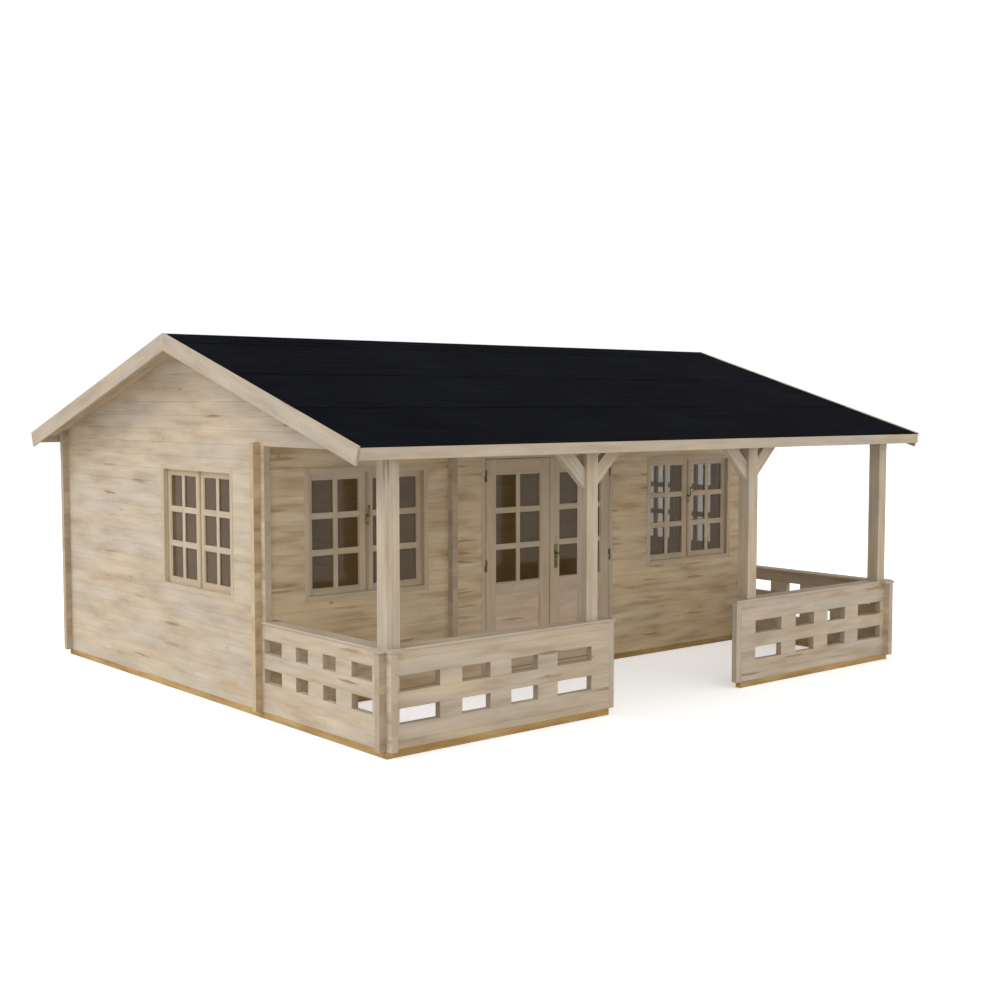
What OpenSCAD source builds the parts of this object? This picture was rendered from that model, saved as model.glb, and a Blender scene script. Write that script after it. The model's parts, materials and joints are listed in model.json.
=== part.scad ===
// Log cabin with a roofed front porch. Millimetres, +Z up.
// Origin: centre of the footprint under the roof, on the ground.
// +X runs along the ridge, the porch is on the -Y side.

/* [Logs] */
// Height of one log course
log_h = 120; // [100:1:150]
// Thickness of a wall log
log_t = 58; // [44:1:70]
// How far the log ends stand past a crossing wall
log_end = 62; // [40:1:90]
// Half height of the V groove at each log joint
groove_h = 3.5; // [2:0.5:6]
// Depth of the V groove at each log joint
groove_d = 3; // [2:0.5:5]
// Courses in the side walls, up to the eaves
courses = 18; // [16:1:20]
// Height of the treated beams under the walls
beam_h = 55; // [40:1:75]

/* [Plan] */
// Length along the ridge, over the outer faces of the side walls
cabin_l = 6140; // [5300:10:7200]
// Depth of the closed rooms, over the outer faces
room_d = 3830; // [3300:10:4500]
// Depth of the open porch, in front of the front wall
porch_d = 1730; // [1500:10:2100]
// Place of the inner wall's centre along X
partition_x = -1119; // [-1250:1:-1000]

/* [Roof] */
// Slope of the roof in degrees
roof_pitch = 17; // [14:0.5:21]
// How far the eaves stand past the walls, measured level
eave_out = 120; // [100:5:250]
// How far the roof stands past the gables
verge_out = 310; // [200:5:400]
// Height of the gable logs at the outer faces of the walls
heel_h = 45; // [31:1:90]
// Thickness of the roof boards
roof_board_t = 28; // [15:1:32]
// Thickness of the roofing felt
felt_t = 3; // [2:0.5:5]
// Clearance between the roof boards and the felt
felt_clear = 0.05; // [0.05:0.05:0.5]
// Width of the barge boards
barge_w = 142; // [110:1:170]
// Height of the fascia boards
fascia_h = 88; // [70:1:110]
// Thickness of the barge and fascia boards
trim_t = 20; // [16:1:28]
// How far the barge boards stand above the felt
barge_rise = 8; // [2:1:15]
// Height of the purlins
purlin_h = 140; // [115:1:170]
// Thickness of the purlins
purlin_t = 58; // [46:1:70]
// Distance between the purlin lines
purlin_gap = 950; // [800:10:1150]

/* [Windows] */
// Clear width of a window frame
window_w = 1190; // [1000:5:1430]
// Clear height of a window frame
window_h = 1020; // [850:5:1150]
// Height of the clear frame's lower edge above the ground
window_z = 954; // [850:1:1080]
// Centre of the front left window along X
front_left_window_x = -2015; // [-2080:5:-1930]
// Centre of the front right window along X
front_right_window_x = 2047; // [1700:1:2150]
// Distance of the side windows' centres from the front of the porch
side_window_d = 2820; // [2750:10:4000]
// Face width of the window and door frames
frame_face = 45; // [35:1:60]
// How far the frames stand proud of the logs
frame_proud = 4; // [2:1:8]
// Depth of the frames
frame_depth = 86; // [75:1:110]
// How far the sashes sit back from the frame's outer face
sash_back = 42; // [30:1:50]
// Depth of the rebate that the sashes sit in
rebate = 22; // [12:1:28]
// Width of the sash stiles and rails
sash_stile = 67; // [50:1:80]
// Thickness of the sashes
sash_t = 38; // [30:1:46]
// Running gap around and between the sashes
sash_gap = 2; // [1:0.5:4]
// Thickness of the glass
glass_t = 6; // [4:1:10]
// Depth of the glass groove
glass_groove = 10; // [6:1:15]

/* [Door] */
// Centre of the double door along X
door_x = 77; // [0:1:200]
// Clear width of the door frame
door_w = 1590; // [1350:5:1700]
// Clear height of the door frame above the base beam
door_h = 1995; // [1900:5:2100]
// Thickness of the door leaves
leaf_t = 42; // [36:1:50]
// Running gap around the leaves
leaf_gap = 5; // [5:0.5:8]
// Running gap between the two leaves
meet_gap = 7; // [7:0.5:10]
// Gap between a closed leaf and the stop behind it
stop_gap = 5; // [5:0.5:8]
// How far the stop stands into the clear width
stop_w = 15; // [10:1:25]
// Width of the leaf stiles
leaf_stile = 118; // [90:1:140]
// Height of the leaf's top rail
top_rail = 137; // [100:1:160]
// Height of the leaf's bottom rail
bottom_rail = 180; // [140:1:220]
// Height of the rail under the glass
lock_rail = 110; // [80:1:140]
// Height of the glass above the ground
door_glass_z = 894; // [800:1:1000]
// Thickness of the lower panel
panel_t = 18; // [12:1:24]
// Height of the sill
sill_h = 30; // [20:1:45]
// Height of the lever above the ground
lever_z = 1128; // [1050:1:1200]
// Distance of the lever's axle from the leaf's edge
backset = 70; // [55:1:80]
// Radius of the lever's axle
axle_r = 5; // [4:0.5:7]
// Clearance around the axle
axle_clear = 0.5; // [0.3:0.1:1]
// Distance of the hinge axis from the leaf's face
hinge_out = 9; // [8.5:0.5:14]
// Radius of the hinge barrels
barrel_r = 7; // [5:0.5:8]
// Height of one hinge, both barrels together
hinge_h = 100; // [80:1:140]

/* [Inner wall] */
// Width of the opening in the inner wall
inner_door_w = 850; // [700:5:950]
// Height of the opening above the base beam
inner_door_h = 2010; // [1900:5:2100]
// Distance of the opening's centre behind the front wall's outer face
inner_door_d = 1500; // [800:10:2600]

/* [Balustrade] */
// Courses in a balustrade
rail_courses = 6; // [5:1:7]
// Length of a front balustrade from the outer face to its free end
front_rail_l = 2297; // [2000:5:2450]
// Height cut off above and below each hole by the logs' tongues
tongue = 2; // [1:0.5:5]
// Width of a post between two holes
hole_gap = 210; // [180:1:240]
// Distance of the first front hole from the outer face
front_hole_start = 118; // [100:1:140]
// Width of the outer front holes
front_hole_outer = 371; // [320:1:390]
// Width of the inner front holes
front_hole_inner = 275; // [230:1:300]
// Distance of the first side hole from the outer face
side_hole_start = 173; // [140:1:190]
// Width of the outer side holes
side_hole_outer = 268; // [230:1:280]
// Width of the inner side holes
side_hole_inner = 177; // [150:1:200]
// Width of the capping boards
cap_w = 150; // [120:1:170]
// Thickness of the capping boards
cap_t = 20; // [16:1:28]
// How far the capping boards stand past the logs
cap_out = 10; // [5:1:20]

/* [Posts] */
// Side of a square porch post
post_w = 120; // [90:1:140]
// Distance of the posts' outer faces from the outer faces of the logs
post_inset = 24; // [10:1:40]
// Distance of the middle posts' centres from the ends of the cabin
middle_post_l = 2068; // [1900:1:2150]
// Thickness of the braces
brace_t = 58; // [40:1:70]
// Width of a brace
brace_w = 120; // [70:1:140]
// How far down the post a brace reaches from the porch beam
brace_drop = 345; // [280:1:420]

/* [Floor] */
// Thickness of the floor boards
floor_t = 19; // [16:1:28]
// Gap between the floor and the walls
floor_gap = 3; // [2:0.5:8]
// Width of the floor joists
joist_w = 45; // [36:1:60]
// Largest distance between joists
joist_gap = 560; // [400:10:700]

/* [Hidden] */

// Colours
spruce = "#c2b39c";
treated = "#a98a55";
black = "#16181c";
tinted = "#4a3b2e";
brass = "#8a7a3a";

// Plan: outer and inner faces of the walls
side_x = cabin_l / 2;
side_in = side_x - log_t;
half_d = (room_d + porch_d) / 2;
back_y = half_d;
back_in = back_y - log_t;
front_y = half_d - room_d;
front_in = front_y + log_t;
porch_y = -half_d;
porch_in = porch_y + log_t;
partition_left = partition_x - log_t / 2;
partition_right = partition_x + log_t / 2;

// Heights
log_z = beam_h;
eave_z = log_z + courses * log_h;
rail_z = log_z + rail_courses * log_h;
cap_z = rail_z + cap_t;
slope = tan(roof_pitch);
ridge_under = eave_z + heel_h + half_d * slope;
board_rise = roof_board_t / cos(roof_pitch);
felt_rise = felt_t / cos(roof_pitch);
felt_lift = board_rise + felt_clear;
roof_x = side_x + verge_out - trim_t;
roof_y = half_d + eave_out - trim_t;
big = 20000;
over = 10;

// Height of the roof's underside at a distance y from the ridge
function under_z(y) = ridge_under - abs(y) * slope;

// Windows: clear frame at the opening, and the hole in the logs
window_cut_w = window_w + 2 * frame_face;
window_cut_h = window_h + 2 * frame_face;
window_cut_z = window_z - frame_face;
sash_out_w = window_w + 2 * (rebate - sash_gap);
sash_out_h = window_h + 2 * (rebate - sash_gap);
sash_w = (sash_out_w - sash_gap) / 2;
sash_front = sash_back - frame_proud;
side_window_y = porch_y + side_window_d;

// Door
door_cut_w = door_w + 2 * frame_face;
door_top = log_z + door_h;
door_cut_z = door_top + frame_face;
leaf_w = (door_w - 2 * leaf_gap - meet_gap) / 2;
leaf_z = log_z + sill_h + leaf_gap;
leaf_h = door_top - leaf_gap - leaf_z;
leaf_face_y = front_y - frame_proud;
leaf_back_y = leaf_face_y + leaf_t;
stop_y = leaf_back_y + stop_gap;
frame_back_y = leaf_face_y + frame_depth;
leaf_glass_w = leaf_w - 2 * leaf_stile;
leaf_glass_h = leaf_z + leaf_h - top_rail - door_glass_z;
panel_z = leaf_z + bottom_rail;
panel_h = door_glass_z - lock_rail - panel_z;
hinge_y = leaf_face_y - hinge_out;
left_axis_x = door_x - door_w / 2 + leaf_gap / 2;
right_axis_x = door_x + door_w / 2 - leaf_gap / 2;
hinge_end = 150;
hinge_zs = [leaf_z + hinge_end, leaf_z + leaf_h / 2, leaf_z + leaf_h - hinge_end];
hinge_plate_t = 3;
hinge_plate_w = 16;
hinge_plate_edge = leaf_gap / 2 + 1;
hinge_knuckle_t = 4;
hinge_knuckle_w = hinge_plate_edge + 2;
hinge_split = 0.5;
lever_x = door_x + meet_gap / 2 + backset;
lever_r = 8;
lever_l = 115;
lever_out = 48;
plate_w = 42;
plate_h = 230;
plate_t = 4;
plate_drop = 88;

// Doorway in the inner wall
inner_door_y = front_y + inner_door_d;

// Balustrade holes, as [start, width] from the outer corner
function holes(start, outer, inner) = [
    [start, outer],
    [start + outer + hole_gap, inner],
    [start + outer + inner + 2 * hole_gap, inner],
    [start + outer + 2 * inner + 3 * hole_gap, outer]
];
front_holes = holes(front_hole_start, front_hole_outer, front_hole_inner);
side_holes = holes(side_hole_start, side_hole_outer, side_hole_inner);

// Porch beam and posts
post_x = side_x - post_inset - post_w / 2;
post_y = porch_y + post_inset + post_w / 2;
middle_post_x = side_x - middle_post_l;
porch_beam_y = post_y - log_t / 2;

// ---- Log building ----

// Outline of a log wall on edge: thickness along x, height along y
module log_outline(z0, z1, first_joint) {
    joints = [
        for (k = [0 : 60])
            let (z = first_joint + k * log_h)
            if (z > z0 + 2 * groove_h && z < z1 - 2 * groove_h) z
    ];
    last = len(joints) - 1;
    rising = [for (z = joints) each [
        [log_t, z - groove_h], [log_t - groove_d, z], [log_t, z + groove_h]
    ]];
    falling = [for (i = [0 : last]) let (z = joints[last - i]) each [
        [0, z + groove_h], [groove_d, z], [0, z - groove_h]
    ]];
    bottom = [[0, z0 + groove_h], [groove_d, z0], [log_t - groove_d, z0], [log_t, z0 + groove_h]];
    top = [[log_t, z1 - groove_h], [log_t - groove_d, z1], [groove_d, z1], [0, z1 - groove_h]];
    polygon(concat(bottom, rising, top, falling));
}

// Logs that run along X, which start with a half log
module x_logs(x0, x1, y, z0, z1) {
    translate([x0, y, 0])
        rotate([90, 0, 90])
            linear_extrude(x1 - x0)
                log_outline(z0, z1, log_z + log_h / 2);
}

// Logs that run along Y, which start with a whole log
module y_logs(x, y0, y1, z0, z1) {
    translate([x, y1, 0])
        rotate([90, 0, 0])
            linear_extrude(y1 - y0)
                log_outline(z0, z1, log_z + log_h);
}

// Notches cut from X logs where Y logs cross them, between x and x + log_t
module notches_for_y_logs(x, y, z1) {
    for (k = [0 : 40]) {
        z = log_z + log_h / 4 + k * log_h;
        if (z < z1)
            translate([x, y - over, z])
                cube([log_t, log_t + 2 * over, log_h / 2]);
    }
}

// Notches cut from Y logs where X logs cross them, between y and y + log_t
module notches_for_x_logs(x, y, z1) {
    for (k = [0 : 40]) {
        z = log_z - log_h / 4 + k * log_h;
        if (z < z1)
            translate([x - over, y, z])
                cube([log_t + 2 * over, log_t, log_h / 2]);
    }
}

// Everything under the roof boards
module under_roof() {
    translate([-big / 2, 0, 0])
        rotate([90, 0, 90])
            linear_extrude(big)
                polygon([
                    [-big / 4, 0], [big / 4, 0],
                    [big / 4, under_z(big / 4)], [0, ridge_under], [-big / 4, under_z(big / 4)]
                ]);
}

// One purlin at y, between two values of x, its top cut to the roof
module purlin(y, x0, x1) {
    bottom = under_z(abs(y) + purlin_t / 2) - purlin_h;
    intersection() {
        translate([x0, y - purlin_t / 2, bottom])
            cube([x1 - x0, purlin_t, 2 * purlin_h]);
        under_roof();
    }
}

// Pockets for all the purlins, between two values of x
module purlin_pockets(x0, x1) {
    for (i = [-2 : 2]) {
        bottom = under_z(abs(i) * purlin_gap + purlin_t / 2) - purlin_h;
        translate([x0, i * purlin_gap - purlin_t / 2, bottom])
            cube([x1 - x0, purlin_t, 2 * purlin_h]);
    }
}

// ---- Base and floor ----

module side_base_beams() {
    color(treated) {
        for (x = [-side_x, side_in])
            translate([x, porch_y, 0])
                cube([log_t, 2 * half_d, beam_h]);
        translate([partition_left, front_in, 0])
            cube([log_t, back_in - front_in, beam_h]);
    }
}

module cross_base_beams() {
    rail_beam_l = front_rail_l - 2 * log_t;
    color(treated) {
        for (y = [front_y, back_in])
            translate([-side_in, y, 0])
                cube([2 * side_in, log_t, beam_h]);
        for (x = [-side_in, side_in - rail_beam_l])
            translate([x, porch_y, 0])
                cube([rail_beam_l, log_t, beam_h]);
    }
}

module room_joists(x0, x1) {
    bays = ceil((x1 - x0) / joist_gap);
    step = (x1 - x0) / bays;
    for (i = [1 : bays - 1])
        translate([x0 + i * step - joist_w / 2, front_in, 0])
            cube([joist_w, back_in - front_in, beam_h]);
}

module floor_joists() {
    color(treated) {
        room_joists(-side_in, partition_left);
        room_joists(partition_right, side_in);
    }
}

module floor_boards() {
    y0 = front_in + floor_gap;
    y1 = back_in - floor_gap;
    color(spruce)
        difference() {
            union() {
                translate([-side_in + floor_gap, y0, log_z])
                    cube([partition_left + side_in - 2 * floor_gap, y1 - y0, floor_t]);
                translate([partition_right + floor_gap, y0, log_z])
                    cube([side_in - partition_right - 2 * floor_gap, y1 - y0, floor_t]);
                translate([partition_left - over, inner_door_y - inner_door_w / 2 + floor_gap, log_z])
                    cube([log_t + 2 * over, inner_door_w - 2 * floor_gap, floor_t]);
            }
            translate([door_x - door_cut_w / 2 - floor_gap, front_y, log_z - over])
                cube([door_cut_w + 2 * floor_gap, frame_back_y + floor_gap - front_y, big]);
        }
}

// ---- Walls ----

module window_hole_x(x, y) {
    translate([x - window_cut_w / 2, y - over, window_cut_z])
        cube([window_cut_w, log_t + 2 * over, window_cut_h]);
}

module window_hole_y(x) {
    translate([x - over, side_window_y - window_cut_w / 2, window_cut_z])
        cube([log_t + 2 * over, window_cut_w, window_cut_h]);
}

module back_wall() {
    color(spruce)
        intersection() {
            difference() {
                x_logs(-side_x - log_end, side_x + log_end, back_in, log_z, ridge_under);
                for (x = [-side_x, partition_left, side_in])
                    notches_for_y_logs(x, back_in, ridge_under);
            }
            under_roof();
        }
}

// A side wall whose outer or inner face starts at x
module side_wall(x) {
    difference() {
        y_logs(x, front_y - log_end, back_y + log_end, log_z, eave_z);
        translate([x - over, front_y - log_end - over, log_z - over])
            cube([log_t + 2 * over, log_end + over, cap_z - log_z + over]);
        for (y = [front_y, back_in])
            notches_for_x_logs(x, y, eave_z);
        window_hole_y(x);
    }
}

module left_wall() {
    color(spruce) side_wall(-side_x);
}

module right_wall() {
    color(spruce) side_wall(side_in);
}

// A part of the front wall between two values of x, above z0
module front_wall_part(x0, x1, z0) {
    intersection() {
        difference() {
            x_logs(x0, x1, front_y, z0, ridge_under);
            for (x = [-side_x, partition_left, side_in])
                notches_for_y_logs(x, front_y, ridge_under);
            for (x = [front_left_window_x, front_right_window_x])
                window_hole_x(x, front_y);
            for (x = [-side_in - big, side_in])
                translate([x, front_y - over, eave_z + log_h / 4])
                    cube([big, log_t + 2 * over, big]);
        }
        under_roof();
    }
}

module front_wall_left() {
    color(spruce) front_wall_part(-side_x - log_end, door_x - door_cut_w / 2, log_z);
}

module front_wall_right() {
    color(spruce) front_wall_part(door_x + door_cut_w / 2, side_x + log_end, log_z);
}

module front_wall_over_door() {
    color(spruce)
        front_wall_part(door_x - door_cut_w / 2, door_x + door_cut_w / 2, door_cut_z);
}

module inner_wall() {
    color(spruce)
        intersection() {
            difference() {
                y_logs(partition_left, front_y - log_end, back_y + log_end, log_z, ridge_under);
                for (y = [front_y, back_in])
                    notches_for_x_logs(partition_left, y, ridge_under);
                translate([partition_left - over, inner_door_y - inner_door_w / 2, log_z - over])
                    cube([log_t + 2 * over, inner_door_w, inner_door_h + over]);
                purlin_pockets(partition_left - over, partition_right + over);
            }
            under_roof();
        }
}

// A gable over rooms and porch; the purlins are let into its inner half
module gable(x, pocket_x0) {
    intersection() {
        difference() {
            y_logs(x, porch_y - log_end, back_y + log_end, eave_z, ridge_under);
            for (y = [front_y, back_in])
                notches_for_x_logs(x, y, eave_z);
            notches_for_x_logs(x, porch_beam_y, ridge_under);
            purlin_pockets(pocket_x0, pocket_x0 + log_t / 2 + over);
        }
        under_roof();
    }
}

module left_gable() {
    color(spruce) gable(-side_x, -side_x + log_t / 2);
}

module right_gable() {
    color(spruce) gable(side_in, side_in - over);
}

// ---- Porch ----

module front_balustrade(side) {
    free_end = side_x - front_rail_l + log_t;
    outer = side_x + log_end;
    x0 = side < 0 ? -outer : free_end;
    corner_x = side < 0 ? -side_x : side_in;
    difference() {
        x_logs(x0, x0 + outer - free_end, porch_y, log_z, rail_z);
        notches_for_y_logs(corner_x, porch_y, rail_z);
        for (hole = front_holes)
            for (row = [1.5, 3.5]) {
                near = side_x - hole[0];
                translate([side < 0 ? -near : near - hole[1], porch_y - over, log_z + row * log_h + tongue])
                    cube([hole[1], log_t + 2 * over, log_h - 2 * tongue]);
            }
    }
}

module side_balustrade(x) {
    difference() {
        y_logs(x, porch_y - log_end, front_y, log_z, rail_z);
        notches_for_x_logs(x, porch_y, rail_z);
        for (hole = side_holes)
            for (row = [2, 4])
                translate([x - over, porch_y + hole[0], log_z + row * log_h + tongue])
                    cube([log_t + 2 * over, hole[1], log_h - 2 * tongue]);
    }
}

module front_left_balustrade() {
    color(spruce) front_balustrade(-1);
}

module front_right_balustrade() {
    color(spruce) front_balustrade(1);
}

module left_side_balustrade() {
    color(spruce) side_balustrade(-side_x);
}

module right_side_balustrade() {
    color(spruce) side_balustrade(side_in);
}

module balustrade_end_posts() {
    color(spruce)
        for (x = [-side_x + front_rail_l - log_t, side_x - front_rail_l])
            translate([x, porch_y, log_z])
                cube([log_t, log_t, rail_z - log_z]);
}

// Capping boards of the left corner, joined where they meet
module corner_cap() {
    translate([-side_x - log_end - cap_out, porch_y - cap_out, rail_z])
        cube([front_rail_l + log_end + 2 * cap_out, cap_w, cap_t]);
    translate([-side_x - cap_out, porch_y - log_end - cap_out, rail_z])
        cube([cap_w, front_y - porch_y + log_end + cap_out, cap_t]);
}

module balustrade_caps() {
    color(spruce) {
        corner_cap();
        mirror([1, 0, 0]) corner_cap();
    }
}

module porch_posts() {
    color(spruce)
        for (x = [-post_x, -middle_post_x, middle_post_x, post_x])
            translate([x - post_w / 2, post_y - post_w / 2, cap_z])
                cube([post_w, post_w, eave_z - cap_z]);
}

// One brace on the +X side of a post whose face is at x = 0
module brace() {
    cut = brace_w * sqrt(2);
    translate([0, post_y + brace_t / 2, 0])
        rotate([90, 0, 0])
            linear_extrude(brace_t)
                polygon([
                    [0, eave_z - brace_drop], [brace_drop, eave_z],
                    [brace_drop - cut, eave_z], [0, eave_z - brace_drop + cut]
                ]);
}

module post_braces() {
    color(spruce)
        for (x = [-middle_post_x, middle_post_x]) {
            translate([x + post_w / 2, 0, 0]) brace();
            translate([x - post_w / 2, 0, 0]) mirror([1, 0, 0]) brace();
        }
}

module porch_beam() {
    color(spruce)
        intersection() {
            difference() {
                translate([-side_x, porch_beam_y, eave_z])
                    cube([2 * side_x, log_t, 2 * log_h]);
                for (x = [-side_x, side_in])
                    notches_for_y_logs(x, porch_beam_y, ridge_under);
            }
            under_roof();
        }
}

// ---- Roof ----

module ridge_purlin() {
    color(spruce) purlin(0, -side_x + log_t / 2, side_x - log_t / 2);
}

module side_purlins() {
    color(spruce)
        for (i = [-2, -1, 1, 2])
            purlin(i * purlin_gap, -side_x + log_t / 2, side_x - log_t / 2);
}

// A layer of one roof slope, from the ridge to y_end, side -1 is the front
module roof_layer(side, lift, rise, y_end) {
    translate([-roof_x, 0, 0])
        rotate([90, 0, 90])
            linear_extrude(2 * roof_x)
                polygon([
                    [0, ridge_under + lift], [0, ridge_under + lift + rise],
                    [side * y_end, under_z(y_end) + lift + rise], [side * y_end, under_z(y_end) + lift]
                ]);
}

module front_roof_boards() {
    color(spruce) roof_layer(-1, 0, board_rise, roof_y);
}

module back_roof_boards() {
    color(spruce) roof_layer(1, 0, board_rise, roof_y);
}

module front_roof_felt() {
    color(black) roof_layer(-1, felt_lift, felt_rise, roof_y + trim_t);
}

module back_roof_felt() {
    color(black) roof_layer(1, felt_lift, felt_rise, roof_y + trim_t);
}

// A pair of barge boards, mitred at the top and cut square at the eaves
module barge_pair() {
    top = ridge_under + felt_lift + felt_rise + barge_rise;
    end_y = roof_y + trim_t;
    end_z = top - end_y * slope;
    inner_y = end_y - barge_w * sin(roof_pitch);
    inner_z = end_z - barge_w * cos(roof_pitch);
    rotate([90, 0, 90])
        linear_extrude(trim_t)
            polygon([
                [0, top], [end_y, end_z], [inner_y, inner_z],
                [0, top - barge_w / cos(roof_pitch)],
                [-inner_y, inner_z], [-end_y, end_z]
            ]);
}

module left_barge_boards() {
    color(spruce) translate([-roof_x - trim_t, 0, 0]) barge_pair();
}

module right_barge_boards() {
    color(spruce) translate([roof_x, 0, 0]) barge_pair();
}

// A fascia board under the felt's edge, side -1 is the front
module fascia(side) {
    y1 = roof_y + trim_t;
    bottom = under_z(y1) + board_rise - fascia_h;
    translate([-roof_x, 0, 0])
        rotate([90, 0, 90])
            linear_extrude(2 * roof_x)
                polygon([
                    [side * roof_y, bottom], [side * y1, bottom],
                    [side * y1, under_z(y1) + board_rise], [side * roof_y, under_z(roof_y) + board_rise]
                ]);
}

module front_fascia() {
    color(spruce) fascia(-1);
}

module back_fascia() {
    color(spruce) fascia(1);
}

// ---- Windows ----

// Places a window: x across, y into the wall from its outer face
module at_windows() {
    for (x = [front_left_window_x, front_right_window_x])
        translate([x, front_y, 0]) children();
    translate([-side_x, side_window_y, 0]) rotate([0, 0, -90]) children();
    translate([side_x, side_window_y, 0]) rotate([0, 0, 90]) children();
}

module window_frame() {
    difference() {
        translate([-window_cut_w / 2, -frame_proud, window_cut_z])
            cube([window_cut_w, frame_depth, window_cut_h]);
        translate([-window_w / 2, -frame_proud - over, window_z])
            cube([window_w, frame_depth + 2 * over, window_h]);
        translate([-window_w / 2 - rebate, sash_front, window_z - rebate])
            cube([window_w + 2 * rebate, frame_depth, window_h + 2 * rebate]);
    }
}

module sash(side) {
    x0 = side < 0 ? -sash_gap / 2 - sash_w : sash_gap / 2;
    z0 = window_z - rebate + sash_gap;
    difference() {
        translate([x0, sash_front, z0])
            cube([sash_w, sash_t, sash_out_h]);
        translate([x0 + sash_stile, sash_front - over, z0 + sash_stile])
            cube([sash_w - 2 * sash_stile, sash_t + 2 * over, sash_out_h - 2 * sash_stile]);
        sash_sheet(side);
    }
}

module sash_sheet(side) {
    x0 = side < 0 ? -sash_gap / 2 - sash_w : sash_gap / 2;
    edge = sash_stile - glass_groove;
    translate([x0 + edge, sash_front + sash_t / 2 - glass_t / 2, window_z - rebate + sash_gap + edge])
        cube([sash_w - 2 * edge, glass_t, sash_out_h - 2 * edge]);
}

module window_frames() {
    color(spruce) at_windows() window_frame();
}

module window_sashes() {
    color(spruce)
        at_windows() {
            sash(-1);
            sash(1);
        }
}

module window_glass() {
    color(tinted)
        at_windows() {
            sash_sheet(-1);
            sash_sheet(1);
        }
}

// ---- Door ----

module door_frame() {
    stop_in = door_w / 2 - stop_w;
    color(spruce)
        translate([door_x, 0, 0])
            difference() {
                translate([-door_cut_w / 2, leaf_face_y, log_z])
                    cube([door_cut_w, frame_depth, door_h + frame_face]);
                translate([-door_w / 2, leaf_face_y - over, log_z + sill_h])
                    cube([door_w, stop_y - leaf_face_y + over, door_h - sill_h]);
                translate([-stop_in, leaf_face_y - over, log_z + sill_h])
                    cube([2 * stop_in, frame_depth + 2 * over, door_h - sill_h - stop_w]);
            }
}

// A leaf with its lower left front corner at the origin
module leaf_shape() {
    glass_z = door_glass_z - leaf_z;
    recess = (leaf_t - panel_t) / 2;
    difference() {
        cube([leaf_w, leaf_t, leaf_h]);
        translate([leaf_stile, -over, glass_z])
            cube([leaf_glass_w, leaf_t + 2 * over, leaf_glass_h]);
        leaf_sheet();
        for (y = [-over, leaf_t - recess])
            translate([leaf_stile, y, bottom_rail])
                cube([leaf_glass_w, recess + over, panel_h]);
    }
}

module leaf_sheet() {
    translate([leaf_stile - glass_groove, leaf_t / 2 - glass_t / 2, door_glass_z - leaf_z - glass_groove])
        cube([leaf_glass_w + 2 * glass_groove, glass_t, leaf_glass_h + 2 * glass_groove]);
}

module at_left_leaf() {
    translate([door_x - meet_gap / 2 - leaf_w, leaf_face_y, leaf_z]) children();
}

module at_right_leaf() {
    translate([door_x + meet_gap / 2, leaf_face_y, leaf_z]) children();
}

module left_door() {
    color(spruce) at_left_leaf() leaf_shape();
}

module right_door() {
    color(spruce)
        difference() {
            at_right_leaf() leaf_shape();
            translate([lever_x, leaf_face_y - over, lever_z])
                rotate([-90, 0, 0])
                    cylinder(h = leaf_t + 2 * over, r = axle_r + axle_clear, $fn = 32);
        }
}

module left_door_glass() {
    color(tinted) at_left_leaf() leaf_sheet();
}

module right_door_glass() {
    color(tinted) at_right_leaf() leaf_sheet();
}

// Half a hinge: a barrel, its knuckle and a flat plate, towards side -1 or +1
module half_hinge(side, z, h) {
    plate_y = hinge_out - hinge_plate_t;
    translate([0, hinge_y, z]) {
        cylinder(h = h, r = barrel_r, $fn = 32);
        translate([side < 0 ? -hinge_plate_w : hinge_plate_edge, plate_y, 0])
            cube([hinge_plate_w - hinge_plate_edge, hinge_plate_t, h]);
        translate([side < 0 ? -hinge_knuckle_w : 0, barrel_r + 1 - hinge_knuckle_t, 0])
            cube([hinge_knuckle_w, hinge_knuckle_t, h]);
    }
}

module frame_hinges() {
    color(brass)
        for (z = hinge_zs) {
            translate([left_axis_x, 0, 0]) half_hinge(-1, z - hinge_h / 2, hinge_h / 2);
            translate([right_axis_x, 0, 0]) half_hinge(1, z - hinge_h / 2, hinge_h / 2);
        }
}

module left_door_hinges() {
    color(brass)
        for (z = hinge_zs)
            translate([left_axis_x, 0, 0])
                half_hinge(1, z + hinge_split, hinge_h / 2 - hinge_split);
}

module right_door_hinges() {
    color(brass)
        for (z = hinge_zs)
            translate([right_axis_x, 0, 0])
                half_hinge(-1, z + hinge_split, hinge_h / 2 - hinge_split);
}

module door_handle_plates() {
    color(brass)
        for (y = [leaf_face_y - plate_t, leaf_back_y])
            difference() {
                translate([lever_x - plate_w / 2, y, lever_z - plate_h + plate_drop])
                    cube([plate_w, plate_t, plate_h]);
                translate([lever_x, y - over, lever_z])
                    rotate([-90, 0, 0])
                        cylinder(h = plate_t + 2 * over, r = axle_r + axle_clear, $fn = 32);
            }
}

module lever_bar(y) {
    translate([0, y, 0])
        rotate([0, 90, 0])
            cylinder(h = lever_l, r = lever_r, $fn = 32);
}

module door_lever() {
    out = leaf_face_y - plate_t - lever_out;
    inside = leaf_back_y + plate_t + lever_out;
    color(brass)
        translate([lever_x, 0, lever_z]) {
            translate([0, out, 0])
                rotate([-90, 0, 0])
                    cylinder(h = inside - out, r = axle_r, $fn = 32);
            lever_bar(out);
            lever_bar(inside);
        }
}

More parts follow.
